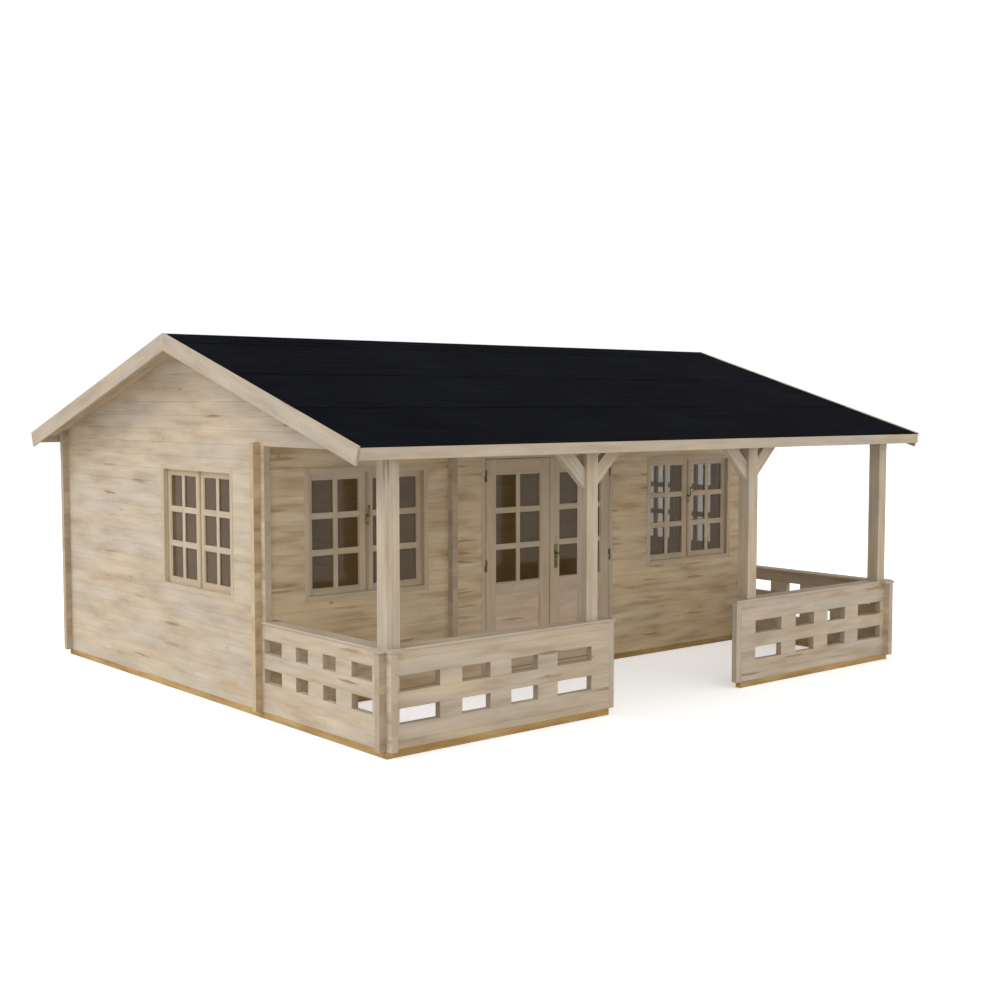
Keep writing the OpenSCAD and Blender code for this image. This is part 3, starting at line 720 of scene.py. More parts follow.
@dataclass
class Stock:
    """Boards and bars of one piece, gathered into one mesh with a map along the grain.

    Attributes:
        name: The piece's name.
        seed: Fixes where each board's pattern starts.
    """

    name: str
    seed: int = 0

    def __post_init__(self) -> None:
        """Opens an empty mesh."""
        self.mesh = bmesh.new()
        self.mesh.loops.layers.uv.new("grain")
        self.dice = random.Random(self.seed)

    def bar(self, low: Sequence[float], high: Sequence[float], along: int, edge: float = 0.002,
            warp: Matrix | None = None, cuts: Iterable[tuple[Vector, Vector]] = ()) -> None:
        """Adds a straight board or bar.

        Args:
            low: Its lowest corner before any warp.
            high: Its highest corner before any warp.
            along: The axis that its grain follows.
            edge: How far its long edges are rounded.
            warp: Turns or shears it into place.
            cuts: Planes, as a point and an outward direction, that cut an end off.
        """
        low, high = Vector(low), Vector(high)
        part = bmesh.new()
        grid = part.loops.layers.uv.new("grain")
        add_block(part, low, high)
        middle = (low + high) / 2
        soften(part, [rim for rim in part.edges if runs(rim, along)], min(edge, min(high - low) / 3))
        first, second = (axis for axis in range(3) if axis != along)
        slide, lift = self.dice.uniform(0, 40), self.dice.uniform(0, 40)
        pith = self.dice.uniform(-0.04, 0.04)
        for face in part.faces:
            end = abs(face.normal[along]) > 0.9
            face.material_index = 1 if end else 0
            for loop in face.loops:
                here = loop.vert.co
                if end:
                    loop[grid].uv = (here[first] - middle[first] + pith, here[second] - middle[second] + pith)
                else:
                    loop[grid].uv = (here[along] + slide, here[first] + here[second] + lift)
        if warp is not None:
            bmesh.ops.transform(part, matrix=warp, verts=part.verts)
        for point, outward in cuts:
            self._cut(part, point, outward)
        merge(part, self.mesh)

    def _cut(self, part: Mesh, point: Vector, outward: Vector) -> None:
        """Cuts an end off a board and closes it with end grain."""
        grid = part.loops.layers.uv["grain"]
        geometry = part.verts[:] + part.edges[:] + part.faces[:]
        bmesh.ops.bisect_plane(
            part, geom=geometry, dist=1e-6, plane_co=point, plane_no=outward, clear_outer=True,
        )
        rim = [edge for edge in part.edges if edge.is_boundary]
        if not rim:
            return
        for face in bmesh.ops.holes_fill(part, edges=rim, sides=0)["faces"]:
            face.material_index = 1
            for loop in face.loops:
                here = loop.vert.co
                loop[grid].uv = (here.x - point.x + here.y - point.y, here.z - point.z)

    def surround(self, low: Sequence[float], high: Sequence[float], width: float, edge: float = 0.003,
                 warp: Matrix | None = None) -> None:
        """Adds four bars round an opening: two uprights, then a lower and an upper one between them.

        Args:
            low: The lowest corner of all four.
            high: Their highest corner.
            width: Their width.
            edge: How far their long edges are rounded.
            warp: Places them.
        """
        for start, end in ((low[X], low[X] + width), (high[X] - width, high[X])):
            self.bar((start, low[Y], low[Z]), (end, high[Y], high[Z]), Z, edge, warp)
        left, right = low[X] + width, high[X] - width
        for start, end in ((low[Z], low[Z] + width), (high[Z] - width, high[Z])):
            self.bar((left, low[Y], start), (right, high[Y], end), X, edge, warp)

    def finish(self, wood: Material, *nodes: str, end: Material | None = None, slot: str = "spruce",
               body: str = CABIN) -> bpy.types.Object:
        """Makes the piece.

        Args:
            wood: The finish of its faces.
            nodes: The CAD nodes that it stands for.
            end: The finish of its ends, or None where it is the same.
            slot: The record's material slot.
            body: The body that it rides on.

        Returns:
            The piece.
        """
        return make_piece(self.name, self.mesh, [wood, end or wood], slot, *nodes, body=body)


def make_piece(name: str, mesh: Mesh, materials: Sequence[Material],
               slot: str | None, *nodes: str, body: str = CABIN) -> bpy.types.Object:
    """Turns a finished mesh into a piece that rides on a body.

    Args:
        name: The piece's name.
        mesh: Its mesh, which is freed.
        materials: Its finishes, in the order of the faces' material numbers.
        slot: The record's material slot, or None; not used.
        nodes: The CAD nodes that it stands for.
        body: The body that it rides on.

    Returns:
        The piece.
    """
    data = bpy.data.meshes.new(name)
    mesh.to_mesh(data)
    mesh.free()
    piece = bpy.data.objects.new(name, data)
    bpy.context.scene.collection.objects.link(piece)
    for material in materials:
        data.materials.append(material)
    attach(piece, body)
    if nodes:
        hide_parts(*nodes)
    log.info("made %s: %d faces", name, len(data.polygons))
    return piece


@dataclass
class Fixings:
    """Small round heads of screws or nails, gathered into one mesh.

    Attributes:
        name: The piece's name.
        radius: Radius of a head.
        height: How far a head stands out.
        sides: Sides of a head.
    """

    name: str
    radius: float = 0.004
    height: float = 0.0012
    sides: int = 10

    def __post_init__(self) -> None:
        """Opens an empty mesh."""
        self.mesh = bmesh.new()

    def head(self, place: Sequence[float], outward: Sequence[float]) -> None:
        """Adds a domed head.

        Args:
            place: Its middle, on the surface.
            outward: The way it faces.
        """
        turn = Vector(outward).to_track_quat("Z", "Y").to_matrix().to_4x4()
        lift = Matrix.Translation((0, 0, self.height / 2))
        bmesh.ops.create_cone(
            self.mesh, cap_ends=True, segments=self.sides, radius1=self.radius, radius2=self.radius * 0.72,
            depth=self.height, matrix=Matrix.Translation(place) @ turn @ lift,
        )

    def finish(self, material: Material, slot: str | None, body: str = CABIN) -> bpy.types.Object:
        """Makes the piece, which rides on the body."""
        return make_piece(self.name, self.mesh, [material], slot, body=body)


# ---------------------------------------------------------------- log walls


@dataclass
class LogWalls:
    """The walls, gables and balustrades, whose logs cross at the corners.

    Attributes:
        course: Height of one log.
        first_joint: Height of the lowest joint of the logs along Y, over the base beams.
        joint: How far the joints are darkened.
        stub: How far the logs stand past the cross walls.
        painted_porch_light: Painted light on the walls under the porch roof, a paler and warmer tint standing
            in for bounce light there.
        painted_nook_shade: Painted shade on the log ends along X, darker and browner as in the shaded nooks
            at the corners.
        painted_front_shade: Painted shade on the front balustrades, a darker tint of the same log wood.
        under_porch: Walls along X under the porch roof.
        along_x: The other walls whose logs run along X.
        along_y: Walls whose logs run along Y.
    """

    course: float = 0.12
    first_joint: float = 0.055
    joint: float = 0.0
    stub: float = 0.062
    painted_porch_light: Colour = (1.16, 1.12, 1.0)
    painted_nook_shade: Colour = (0.79, 0.75, 0.69)
    painted_front_shade: Colour = (0.93, 0.92, 0.91)
    under_porch: tuple[str, ...] = ("front_wall_left", "front_wall_right", "front_wall_over_door")
    along_x: tuple[str, ...] = ("back_wall", "front_left_balustrade", "front_right_balustrade")
    along_y: tuple[str, ...] = (
        "left_wall", "right_wall", "inner_wall", "left_gable", "right_gable",
        "left_side_balustrade", "right_side_balustrade",
    )

    def dress(self) -> None:
        """Gives every wall its own run of logs."""
        for number, name in enumerate(self.along_x):
            # Painted shade: the front balustrades get a darker copy of the log wood.
            tint = self.painted_front_shade if "front" in name else (1.0, 1.0, 1.0)
            seed = 4.1 * number + 1.3
            # The log ends past the cross walls get the painted shade of the nooks at the corners.
            self._dress(name, Grain.ALONG_X, seed, contrast=0.7, tint=tint, stub_tint=self.painted_nook_shade)
        for number, name in enumerate(self.along_y):
            self._dress(name, Grain.ALONG_Y, 3.1 * number + 2.2, contrast=0.7)
        # Painted light: the walls under the porch roof get a paler, warmer copy of the log wood; their log
        # ends keep the painted shade.
        for name in self.under_porch:
            self._dress(
                name, Grain.ALONG_X, 1.7, tones=PORCH_TONES, contrast=0.6, tint=self.painted_porch_light,
                stub_tint=self.painted_nook_shade, streaks=0.17, knots=0.01,
            )

    def _dress(self, name: str, grain: Grain, seed: float, **look: object) -> None:
        """Gives one wall its finish.

        Args:
            name: The wall's node.
            grain: The way of its logs.
            seed: Fixes its pattern.
            look: Other values of the finish.
        """
        low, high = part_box(name)
        way, _, thick = grain.value
        longest = name
        if grain is Grain.ALONG_X:
            longest = "back_wall"
        elif "balustrade" in name:
            longest = "left_gable"
        ends = [corner[way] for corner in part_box(longest)]
        start = self.first_joint + (self.course / 2 if grain is Grain.ALONG_X else 0.0)
        wood = Wood(
            f"logs_{name}", grain, course=self.course, start=start, seed=seed, joint=self.joint,
            core=(low[thick] + high[thick]) / 2, reach=(ends[0] + self.stub, ends[1] - self.stub), **look,
        )
        dress(name, wood.build())


# ---------------------------------------------------------------- roof


@dataclass
class Roof:
    """Boards, felt, purlins and trim of both slopes.

    Attributes:
        finishes: The shared materials.
        pitch: Slope in degrees.
        board_w: Width of a roof board.
        board_t: Thickness of a roof board.
        board_v: Width of the V at each board's lower edges.
        felt_t: Thickness of the felt.
        strip_w: Width of a strip of felt.
        lap: How far a strip laps over the one below.
        cap_w: Width of the felt cap over the ridge, on each side.
        nail_gap: Distance between two felt nails.
        barge_w: Width of a barge board.
        barge_screws: Distances of its two rows of screws from its upper edge.
        fascia_joint: Where the two lengths of a fascia meet, along X.
        fascia_drop: How much lower a fascia's top lies than its CAD box's.
    """

    finishes: Finishes
    pitch: float = 17.0
    board_w: float = 0.096
    board_t: float = 0.028
    board_v: float = 0.004
    felt_t: float = 0.003
    strip_w: float = 1.0
    lap: float = 0.08
    cap_w: float = 0.15
    nail_gap: float = 0.1
    barge_w: float = 0.142
    barge_screws: tuple[float, float] = (0.04, 0.105)
    fascia_joint: float = 0.9
    fascia_drop: float = 0.004

    def __post_init__(self) -> None:
        """Works out the slope's frame from the CAD boards."""
        self.slope = math.tan(math.radians(self.pitch))
        self.cosine = math.cos(math.radians(self.pitch))
        low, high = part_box("front_roof_boards")
        self.left, self.right = low.x, high.x
        self.eave = -low.y
        self.ridge_top = high.z
        self.ridge_under = high.z - self.board_t / self.cosine

    def shear(self, side: int, base: float) -> Matrix:
        """Moves flat stock, drawn with its underside at zero, onto a slope.

        Args:
            side: -1 for the front slope, 1 for the back one.
            base: Height at the ridge.

        Returns:
            The matrix.
        """
        matrix = Matrix.Identity(4)
        matrix[2][1] = -side * self.slope
        matrix[2][3] = base
        return matrix

    def build(self) -> None:
        """Builds every piece of the roof."""
        for side, name in ((-1, "front"), (1, "back")):
            self._boards(side, name)
            self._felt(side, name)
            self._fascia(side, name)
        self._ridge_cap()
        for side, name in ((-1, "left"), (1, "right")):
            self._barge(side, name)
        self._purlins()
        self._nails()

    def _boards(self, side: int, name: str) -> None:
        """Tongued boards from ridge to eave, with a V between two on the underside."""
        stock = Stock(f"{name}_shaded_roof_boarding", seed=11 + side)
        rise = self.board_t / self.cosine
        near, far = sorted((0.0, side * self.eave))
        warp = self.shear(side, self.ridge_under)
        for start, end in shares(self.left, self.right, self.board_w):
            stock.bar((start, near, 0), (end, far, rise), Y, self.board_v, warp)
        stock.finish(self.finishes.shaded_boarding, f"{name}_roof_boards", end=self.finishes.spruce_end)

    def _strips(self) -> list[tuple[float, float, int]]:
        """Start and end of each strip of felt, level from the ridge, and its number from the eave."""
        _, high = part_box("back_roof_felt")
        edge = high.y
        step = (self.strip_w - self.lap) * self.cosine
        wide = self.strip_w * self.cosine
        strips = []
        number = 0
        while edge > 0:
            strips.append((max(0.0, edge - wide), edge, number))
            edge -= step
            number += 1
        return strips

    def _felt(self, side: int, name: str) -> None:
        """Strips of felt, each lapped over the one below it."""
        mesh = bmesh.new()
        low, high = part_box(f"{name}_roof_felt")
        for start, end, number in self._strips():
            near, far = sorted((side * start, side * end))
            part = add_block(mesh, (low.x, near, 0), (high.x, far, self.felt_t / self.cosine))
            outer = [v for v in part if abs(v.co.y) > (start + end) / 2] if number else []
            bmesh.ops.translate(mesh, vec=(0, 0, self.felt_t), verts=outer)
            bmesh.ops.transform(mesh, matrix=self.shear(side, self.ridge_top), verts=part)
        make_piece(f"{name}_felt_strips", mesh, [self.finishes.felt], "roof_felt", f"{name}_roof_felt")

    def _ridge_cap(self) -> None:
        """A strip of felt bent over the ridge."""
        mesh = bmesh.new()
        low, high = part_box("front_roof_felt")
        base = self.ridge_top + self.felt_t / self.cosine + self.felt_t * 0.4
        for side in (-1, 1):
            near, far = sorted((0.0, side * self.cap_w))
            part = add_block(mesh, (low.x, near, 0), (high.x, far, self.felt_t))
            bmesh.ops.transform(mesh, matrix=self.shear(side, base), verts=part)
        make_piece("ridge_felt_cap", mesh, [self.finishes.felt], "roof_felt")

    def _nails(self) -> None:
        """Clout nails along the lower edge of each strip and of the ridge cap."""
        nails = Fixings("felt_nails", radius=0.0045, height=0.0012, sides=8)
        inset = 0.02
        rows = [end - inset for _, end, number in self._strips() if number]
        rows.append(self.cap_w - inset)
        count = round((self.right - self.left - 2 * inset) / self.nail_gap)
        top = self.ridge_top + 2 * self.felt_t + 0.0015
        for side in (-1, 1):
            outward = (0, side * self.slope, 1)
            for row in rows:
                for place in spread(self.left + inset, self.right - inset, count + 1):
                    nails.head((place, side * row, top - row * self.slope), outward)
        nails.finish(self.finishes.blued, "brass")

    def _fascia(self, side: int, name: str) -> None:
        """The fascia board, in two lengths."""
        low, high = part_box(f"{name}_fascia")
        stock = Stock(f"{name}_fascia_boards", seed=31 + side)
        for start, end in ((low.x, self.fascia_joint), (self.fascia_joint, high.x)):
            stock.bar((start, low.y, low.z), (end, high.y, high.z - self.fascia_drop), X)
        stock.finish(self.finishes.trim, f"{name}_fascia", end=self.finishes.spruce_end)

    def _barge(self, side: int, name: str) -> None:
        """A pair of barge boards, mitred at the ridge and cut square at the eaves."""
        low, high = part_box(f"{name}_barge_boards")
        length = high.y / self.cosine
        angle = math.radians(self.pitch)
        stock = Stock(f"{name}_barge_pair", seed=41 + side)
        for way in (-1, 1):
            near, far = sorted((-way * self.barge_w, way * length))
            warp = Matrix.Translation((0, 0, high.z)) @ Matrix.Rotation(-way * angle, 4, "X")
            mitre = (Vector((0, 0, 0)), Vector((0, -way, 0)))
            stock.bar((low.x, near, -self.barge_w), (high.x, far, 0), Y, 0.002, warp, [mitre])
        stock.finish(self.finishes.trim, f"{name}_barge_boards", end=self.finishes.spruce_end)
        self._barge_screws(side, name, low, high)

    def _barge_screws(self, side: int, name: str, low: Vector, high: Vector) -> None:
        """Pairs of screws through a barge board."""
        screws = Fixings(f"{name}_barge_screws")
        face = low.x if side < 0 else high.x
        margin = 0.12
        for way in (-1, 1):
            for reach in spread(margin, high.y - margin, 5):
                top = high.z - reach * self.slope
                for drop in self.barge_screws:
                    screws.head((face, way * reach, top - drop / self.cosine), (side, 0, 0))
        screws.finish(self.finishes.zinc, "brass")

    def _purlins(self) -> None:
        """Ridge and side purlins, as planed beams."""
        stock = Stock("purlin_beams", seed=51)
        for node in ("ridge_purlin", "side_purlins"):
            for low, high in solids(node):
                stock.bar(low, (high.x, high.y, self._under(low, high)), X, 0.003)
        stock.finish(self.finishes.timber, "ridge_purlin", "side_purlins", end=self.finishes.spruce_end)

    def _under(self, low: Vector, high: Vector) -> float:
        """Height of the boards' underside over the outer edge of a purlin."""
        return self.ridge_under - max(abs(low.y), abs(high.y)) * self.slope


# ---------------------------------------------------------------- porch


@dataclass
class Porch:
    """Posts, braces, caps and end posts of the porch.

    Attributes:
        finishes: The shared materials.
        cap_w: Width of a capping board.
        cap_step: Distance from a cap's free end to the side cap's edge.
        cap_lead: Distance from the ends of the side logs back to the front cap's edge.
        brace_w: Width of a brace.
        edge: How far the edges of posts are rounded.
        screw_inset: Distance of the screws from a cap's edges.
        beam_drop: How much lower the beam's top lies than its CAD box's.
    """

    finishes: Finishes
    cap_w: float = 0.15
    cap_step: float = 0.062
    cap_lead: float = 0.052
    brace_w: float = 0.12
    edge: float = 0.004
    screw_inset: float = 0.04
    beam_drop: float = 0.02

    def build(self) -> None:
        """Builds every piece of the porch."""
        self._upright("porch_posts", "post_timbers", 61)
        self._upright("balustrade_end_posts", "end_post_timbers", 62)
        self._caps()
        self._braces()
        self._beam()

    def _upright(self, node: str, name: str, seed: int) -> None:
        """Square timber that stands on end, for each solid of a node."""
        stock = Stock(name, seed=seed)
        for low, high in solids(node):
            stock.bar(low, high, Z, self.edge)
        stock.finish(self.finishes.timber, node, end=self.finishes.spruce_end)

    def _caps(self) -> None:
        """Capping boards, the front ones running through and the side ones butted to them."""
        stock = Stock("capping_boards", seed=63)
        screws = Fixings("capping_screws")
        front_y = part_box("left_side_balustrade")[0].y + self.cap_lead
        back_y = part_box("left_side_balustrade")[1].y
        rows = (self.screw_inset, self.cap_w - self.screw_inset)
        for low, high in solids("balustrade_caps"):
            stock.bar((low.x, front_y, low.z), (high.x, front_y + self.cap_w, high.z), X, 0.004)
            outer = low.x + self.cap_step if low.x < 0 else high.x - self.cap_step - self.cap_w
            for start, end in ((low.y, front_y), (front_y + self.cap_w, back_y)):
                stock.bar((outer, start, low.z), (outer + self.cap_w, end, high.z), Y, 0.004)
            for spot in spread(low.x + 0.1, high.x - 0.1, 6):
                for row in rows:
                    screws.head((spot, front_y + row, high.z), (0, 0, 1))
            for spot in spread(front_y + 0.3, back_y - 0.1, 4):
                for row in rows:
                    screws.head((outer + row, spot, high.z), (0, 0, 1))
        stock.finish(self.finishes.trim, "balustrade_caps", end=self.finishes.spruce_end)
        screws.finish(self.finishes.zinc, "brass")

    def _braces(self) -> None:
        """Two braces at each middle post, mitred to the post and to the beam."""
        stock = Stock("brace_timbers", seed=64)
        low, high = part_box("post_braces")
        for post_low, post_high in solids("porch_posts")[1:3]:
            for way in (-1, 1):
                face = post_high.x if way > 0 else post_low.x
                self._brace(stock, face, way, low, high)
        stock.finish(self.finishes.timber, "post_braces", end=self.finishes.spruce_end)

    def _brace(self, stock: Stock, face: float, way: int, low: Vector, high: Vector) -> None:
        """One brace, from a post's face up to the beam."""
        foot = Vector((face, 0, low.z))
        length = (high.z - low.z) * 2
        warp = Matrix.Translation(foot) @ Matrix.Rotation(-way * math.radians(45), 4, "Y")
        start, end = sorted((-way * self.brace_w, way * (length - self.brace_w)))
        cuts = [
            (foot, Vector((-way, 0, 0))),
            (Vector((0, 0, high.z)), Vector((0, 0, 1))),
        ]
        stock.bar((start, low.y, 0), (end, high.y, self.brace_w), X, 0.003, warp, cuts)

    def _beam(self) -> None:
        """The beam over the posts."""
        stock = Stock("porch_beam_timber", seed=65)
        low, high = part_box("porch_beam")
        stock.bar(low, (high.x, high.y, high.z - self.beam_drop), X, self.edge)
        stock.finish(self.finishes.timber, "porch_beam", end=self.finishes.spruce_end)


# ---------------------------------------------------------------- joinery


@dataclass
class Glazing:
    """Bars and beads on both faces of a sheet of glass.

    Attributes:
        bar_w: Width of an upright bar.
        row_h: Height of a level bar.
        bead_w: Width of a bead.
        edge: Size of their chamfers.
        columns: Panes across.
        rows: Panes up.
        glass_t: Thickness of the glass.
        sunk: How far the bars lie behind the timbers' faces.
    """

    bar_w: float
    row_h: float = 0.054
    bead_w: float = 0.009
    edge: float = 0.005
    columns: int = 2
    rows: int = 3
    glass_t: float = 0.006
    sunk: float = 0.003

    def add(self, stock: Stock, low: Vector, high: Vector, warp: Matrix | None = None) -> None:
        """Adds the bars and beads of one opening, on both faces of its glass.

        Args:
            stock: Where they are gathered.
            low: The opening's lowest corner, at the near face of the timbers round it.
            high: Its highest corner, at their far face.
            warp: Places the opening.
        """
        half = self.bar_w / 2
        middle = (low.y + high.y) / 2
        layers = (
            (low.y + self.sunk, middle - self.glass_t / 2),
            (middle + self.glass_t / 2, high.y - self.sunk),
        )
        ups = [low.x + (high.x - low.x) * place / self.columns for place in range(1, self.columns)]
        levels = [low.z + (high.z - low.z) * place / self.rows for place in range(1, self.rows)]
        for near, far in layers:
            for place in ups:
                stock.bar((place - half, near, low.z), (place + half, far, high.z), Z, self.edge, warp)
            starts = [low.x] + [place + half for place in ups]
            ends = [place - half for place in ups] + [high.x]
            for level in levels:
                for start, end in zip(starts, ends):
                    low_z, high_z = level - self.row_h / 2, level + self.row_h / 2
                    stock.bar((start, near, low_z), (end, far, high_z), X, self.edge, warp)
            inset = (far - near) * 0.25
            stock.surround((low.x, near + inset, low.z), (high.x, far, high.z), self.bead_w, 0.003, warp)


@dataclass(frozen=True)
class Opening:
    """Where a window is.

    Attributes:
        place: To the room from across, into the wall and up.
        half: Half the clear width.
        bottom: Lower edge of the clear opening.
        top: Upper edge of the clear opening.
        back: Depth of the frame's back.
    """

    place: Matrix
    half: float
    bottom: float
    top: float
    back: float


@dataclass
class Windows:
    """Frames and paired sashes of the four windows.

    Attributes:
        finishes: The shared materials.
        face: Width of the frame's face.
        proud: How far the frame stands past the wall.
        set_back: How far the sashes lie behind the wall's face.
        rebate: How far the frame's face covers the sashes.
        stile: Width of the sash timbers.
        sash_t: Thickness of a sash.
        gap: Gap round and between the sashes.
        bar_w: Width of a glazing bar.
        strip: The sides of the strips over the meeting stiles, across the window.
        strip_t: Their thickness.
        handle_level: Height of the handles, as a share of the clear opening's.
    """

    finishes: Finishes
    face: float = 0.045
    proud: float = 0.004
    set_back: float = 0.038
    rebate: float = 0.022
    stile: float = 0.067
    sash_t: float = 0.038
    gap: float = 0.002
    bar_w: float = 0.047
    strip: tuple[float, float] = (-0.004, 0.022)
    strip_t: float = 0.008
    handle_level: float = 0.6

    def openings(self) -> list[Opening]:
        """Where the windows are."""
        found = []
        for low, high in solids("window_frames"):
            size, middle = high - low, (low + high) / 2
            if size.x > size.y:
                place = Matrix.Translation((middle.x, low.y + self.proud, 0))
            else:
                side = math.copysign(1, middle.x)
                face = max(abs(low.x), abs(high.x)) - self.proud
                turn = Matrix.Rotation(side * math.pi / 2, 4, "Z")
                place = Matrix.Translation((side * face, middle.y, 0)) @ turn
            half, depth = max(size.x, size.y) / 2, min(size.x, size.y)
            found.append(Opening(
                place, half - self.face, low.z + self.face, high.z - self.face, depth - self.proud,
            ))
        return found

    def build(self) -> None:
        """Builds frames, sashes, bars and handles."""
        casings = Stock("window_casings", seed=81)
        sashes = Stock("casement_sashes", seed=82)
        bars = Stock("window_glazing_bars", seed=83)
        strips = Stock("window_cover_strips", seed=84)
        for opening in self.openings():
            self._casing(casings, opening)
            self._strip(strips, opening)
            for side in (-1, 1):
                self._sash(sashes, bars, opening, side)
        casings.finish(self.finishes.joinery, "window_frames")
        sashes.finish(self.finishes.joinery, "window_sashes")
        bars.finish(self.finishes.joinery)
        # The strips take the dark finish that paints shade at the meeting stiles.
        strips.finish(self.finishes.strip)
        self._handles()

    def _strip(self, stock: Stock, opening: Opening) -> None:
        """The strips over the meeting stiles, on both faces of the sashes."""
        left, right = self.strip
        far = self.set_back + self.sash_t
        for near, back in ((self.set_back - self.strip_t, self.set_back), (far, far + self.strip_t)):
            stock.bar((left, near, opening.bottom), (right, back, opening.top), Z, 0.003, opening.place)

    def _casing(self, stock: Stock, opening: Opening) -> None:
        """A frame: a face that covers the sashes' edges, and a deeper lining behind it."""
        outer = opening.half + self.face
        bottom, top = opening.bottom - self.face, opening.top + self.face
        layers = ((-self.proud, self.set_back, 0.0), (self.set_back, opening.back, self.rebate))
        for near, far, step in layers:
            corners = (-outer, near, bottom), (outer, far, top)
            stock.surround(*corners, self.face - step, warp=opening.place)

    def _sash(self, stock: Stock, bars: Stock, opening: Opening, side: int) -> None:
        """One sash with its glazing bars."""
        reach = self.rebate - self.gap
        start, end = sorted((side * self.gap / 2, side * (opening.half + reach)))
        low = Vector((start, self.set_back, opening.bottom - reach))
        high = Vector((end, self.set_back + self.sash_t, opening.top + reach))
        stock.surround(low, high, self.stile, warp=opening.place)
        inset = Vector((self.stile, 0, self.stile))
        Glazing(self.bar_w).add(bars, low + inset, high - inset, opening.place)

    def _handles(self) -> None:
        """A turning handle on the meeting stiles of each front window, outside, and inside of the others."""
        mesh = bmesh.new()
        for opening in self.openings():
            front = abs(opening.place.to_euler().z) < 0.1
            level = opening.bottom + (opening.top - opening.bottom) * self.handle_level
            depth = self.set_back - self.strip_t if front else self.set_back + self.sash_t + self.strip_t
            turn = Matrix.Identity(4) if front else Matrix.Rotation(math.pi, 4, "Z")
            seat = opening.place @ Matrix.Translation((sum(self.strip) / 2, depth, level)) @ turn
            self._handle(mesh, seat)
        make_piece("window_handles", mesh, [self.finishes.brass], "brass")

    def _handle(self, mesh: Mesh, seat: Matrix) -> None:
        """A rose with rounded corners, a short neck and a grip that hangs down."""
        rounded_plate(mesh, (-0.017, -0.006, -0.0475), (0.017, 0, 0.0475), 0.012, 0.0015, seat)
        neck = Matrix.Translation((0, -0.005, 0.03)) @ Matrix.Rotation(math.pi / 2, 4, "X")
        rod = Rod(mesh, 0.008, seat @ neck)
        rod.straight(0.016)
        rod.bend(0.012, 90, 5, "X", -1)
        rod.straight(0.08, 0.85)
        rod.close()


@dataclass
class Doors:
    """Frame and leaves of the double doors.

    Attributes:
        finishes: The shared materials.
        face: Width of the frame's face.
        stop_gap: Gap between a leaf and its stop.
        stop_w: How far the stops stand past the frame's face.
        sill_h: Height of the sill.
        stile: Width of a leaf's stiles.
        lock_rail: Height of the rail under the glass.
        bottom_rail: Height of the bottom rail.
        panel_t: Thickness of the panel.
        panel_bead: Width of the panel's beads.
        bar_w: Width of a glazing bar.
    """

    finishes: Finishes
    face: float = 0.045
    stop_gap: float = 0.005
    stop_w: float = 0.015
    sill_h: float = 0.030
    stile: float = 0.118
    lock_rail: float = 0.110
    bottom_rail: float = 0.180
    panel_t: float = 0.018
    panel_bead: float = 0.011
    bar_w: float = 0.048

    def build(self) -> None:
        """Builds the frame and both leaves."""
        self._frame()
        for number, body in enumerate(("left_door", "right_door")):
            self._leaf(body, number)

    def _frame(self) -> None:
        """Jambs and head with their stops, and the sill."""
        low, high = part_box("door_frame")
        leaf_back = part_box("left_door")[1].y + self.stop_gap
        stock = Stock("door_casing", seed=91)
        layers = ((low.y, leaf_back, self.face), (leaf_back, high.y, self.face + self.stop_w))
        for near, far, width in layers:
            for start, end in ((low.x, low.x + width), (high.x - width, high.x)):
                stock.bar((start, near, low.z), (end, far, high.z), Z, 0.003)
            for start, end in ((high.z - width, high.z), (low.z, low.z + self.sill_h)):
                stock.bar((low.x + width, near, start), (high.x - width, far, end), X, 0.003)
        stock.finish(self.finishes.joinery, "door_frame")

    def _leaf(self, body: str, number: int) -> None:
        """One leaf: stiles, three rails, a sunk panel, and bars over the glass."""
        low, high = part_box(body)
        glass_low, glass_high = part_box(f"{body}_glass")
        stock = Stock(f"{body}_timbers", seed=92 + number)
        left, right = low.x + self.stile, high.x - self.stile
        groove = glass_low.x - left
        bottom, top = glass_low.z - groove, glass_high.z + groove
        for start, end in ((low.x, left), (right, high.x)):
            stock.bar((start, low.y, low.z), (end, high.y, high.z), Z, 0.004)
        panel = (low.z + self.bottom_rail, bottom - self.lock_rail)
        for start, end in ((low.z, panel[0]), (panel[1], bottom), (top, high.z)):
            stock.bar((left, low.y, start), (right, high.y, end), X, 0.004)
        opening = Vector((left, low.y, bottom)), Vector((right, high.y, top))
        Glazing(self.bar_w, sunk=0.004).add(stock, *opening)
        stock.finish(self.finishes.joinery, body, body=body)
        self._panel(body, number, Vector((left, low.y, panel[0])), Vector((right, high.y, panel[1])))

    def _panel(self, body: str, number: int, low: Vector, high: Vector) -> None:
        """The lower panel with a bead all round on both faces."""
        stock = Stock(f"{body}_panel", seed=95 + number)
        near = (low.y + high.y) / 2 - self.panel_t / 2
        far = near + self.panel_t
        stock.bar((low.x, near, low.z), (high.x, far, high.z), X, 0.001)
        for face, back in ((low.y + 0.005, near), (far, high.y - 0.005)):
            stock.surround((low.x, face, low.z), (high.x, back, high.z), self.panel_bead)
        stock.finish(self.finishes.panel, end=self.finishes.joinery, body=body)


# ---------------------------------------------------------------- metalwork


def rounded_plate(mesh: Mesh, low: Sequence[float], high: Sequence[float], corner: float,
                  rim: float, place: Matrix | None = None) -> None:
    """Adds a plate in the XZ plane with round corners and a softened rim.

    Args:
        mesh: Where it is added.
        low: Its lowest corner.
        high: Its highest corner.
        corner: Radius of its corners.
        rim: Size of the rim's bevel.
        place: Places the plate.
    """
    part = bmesh.new()
    add_block(part, low, high)
    soften(part, [edge for edge in part.edges if runs(edge, Y)], corner, 6)
    soften(part, [edge for edge in part.edges if not runs(edge, Y)], rim)
    if place is not None:
        bmesh.ops.transform(part, matrix=place, verts=part.verts)
    merge(part, mesh)


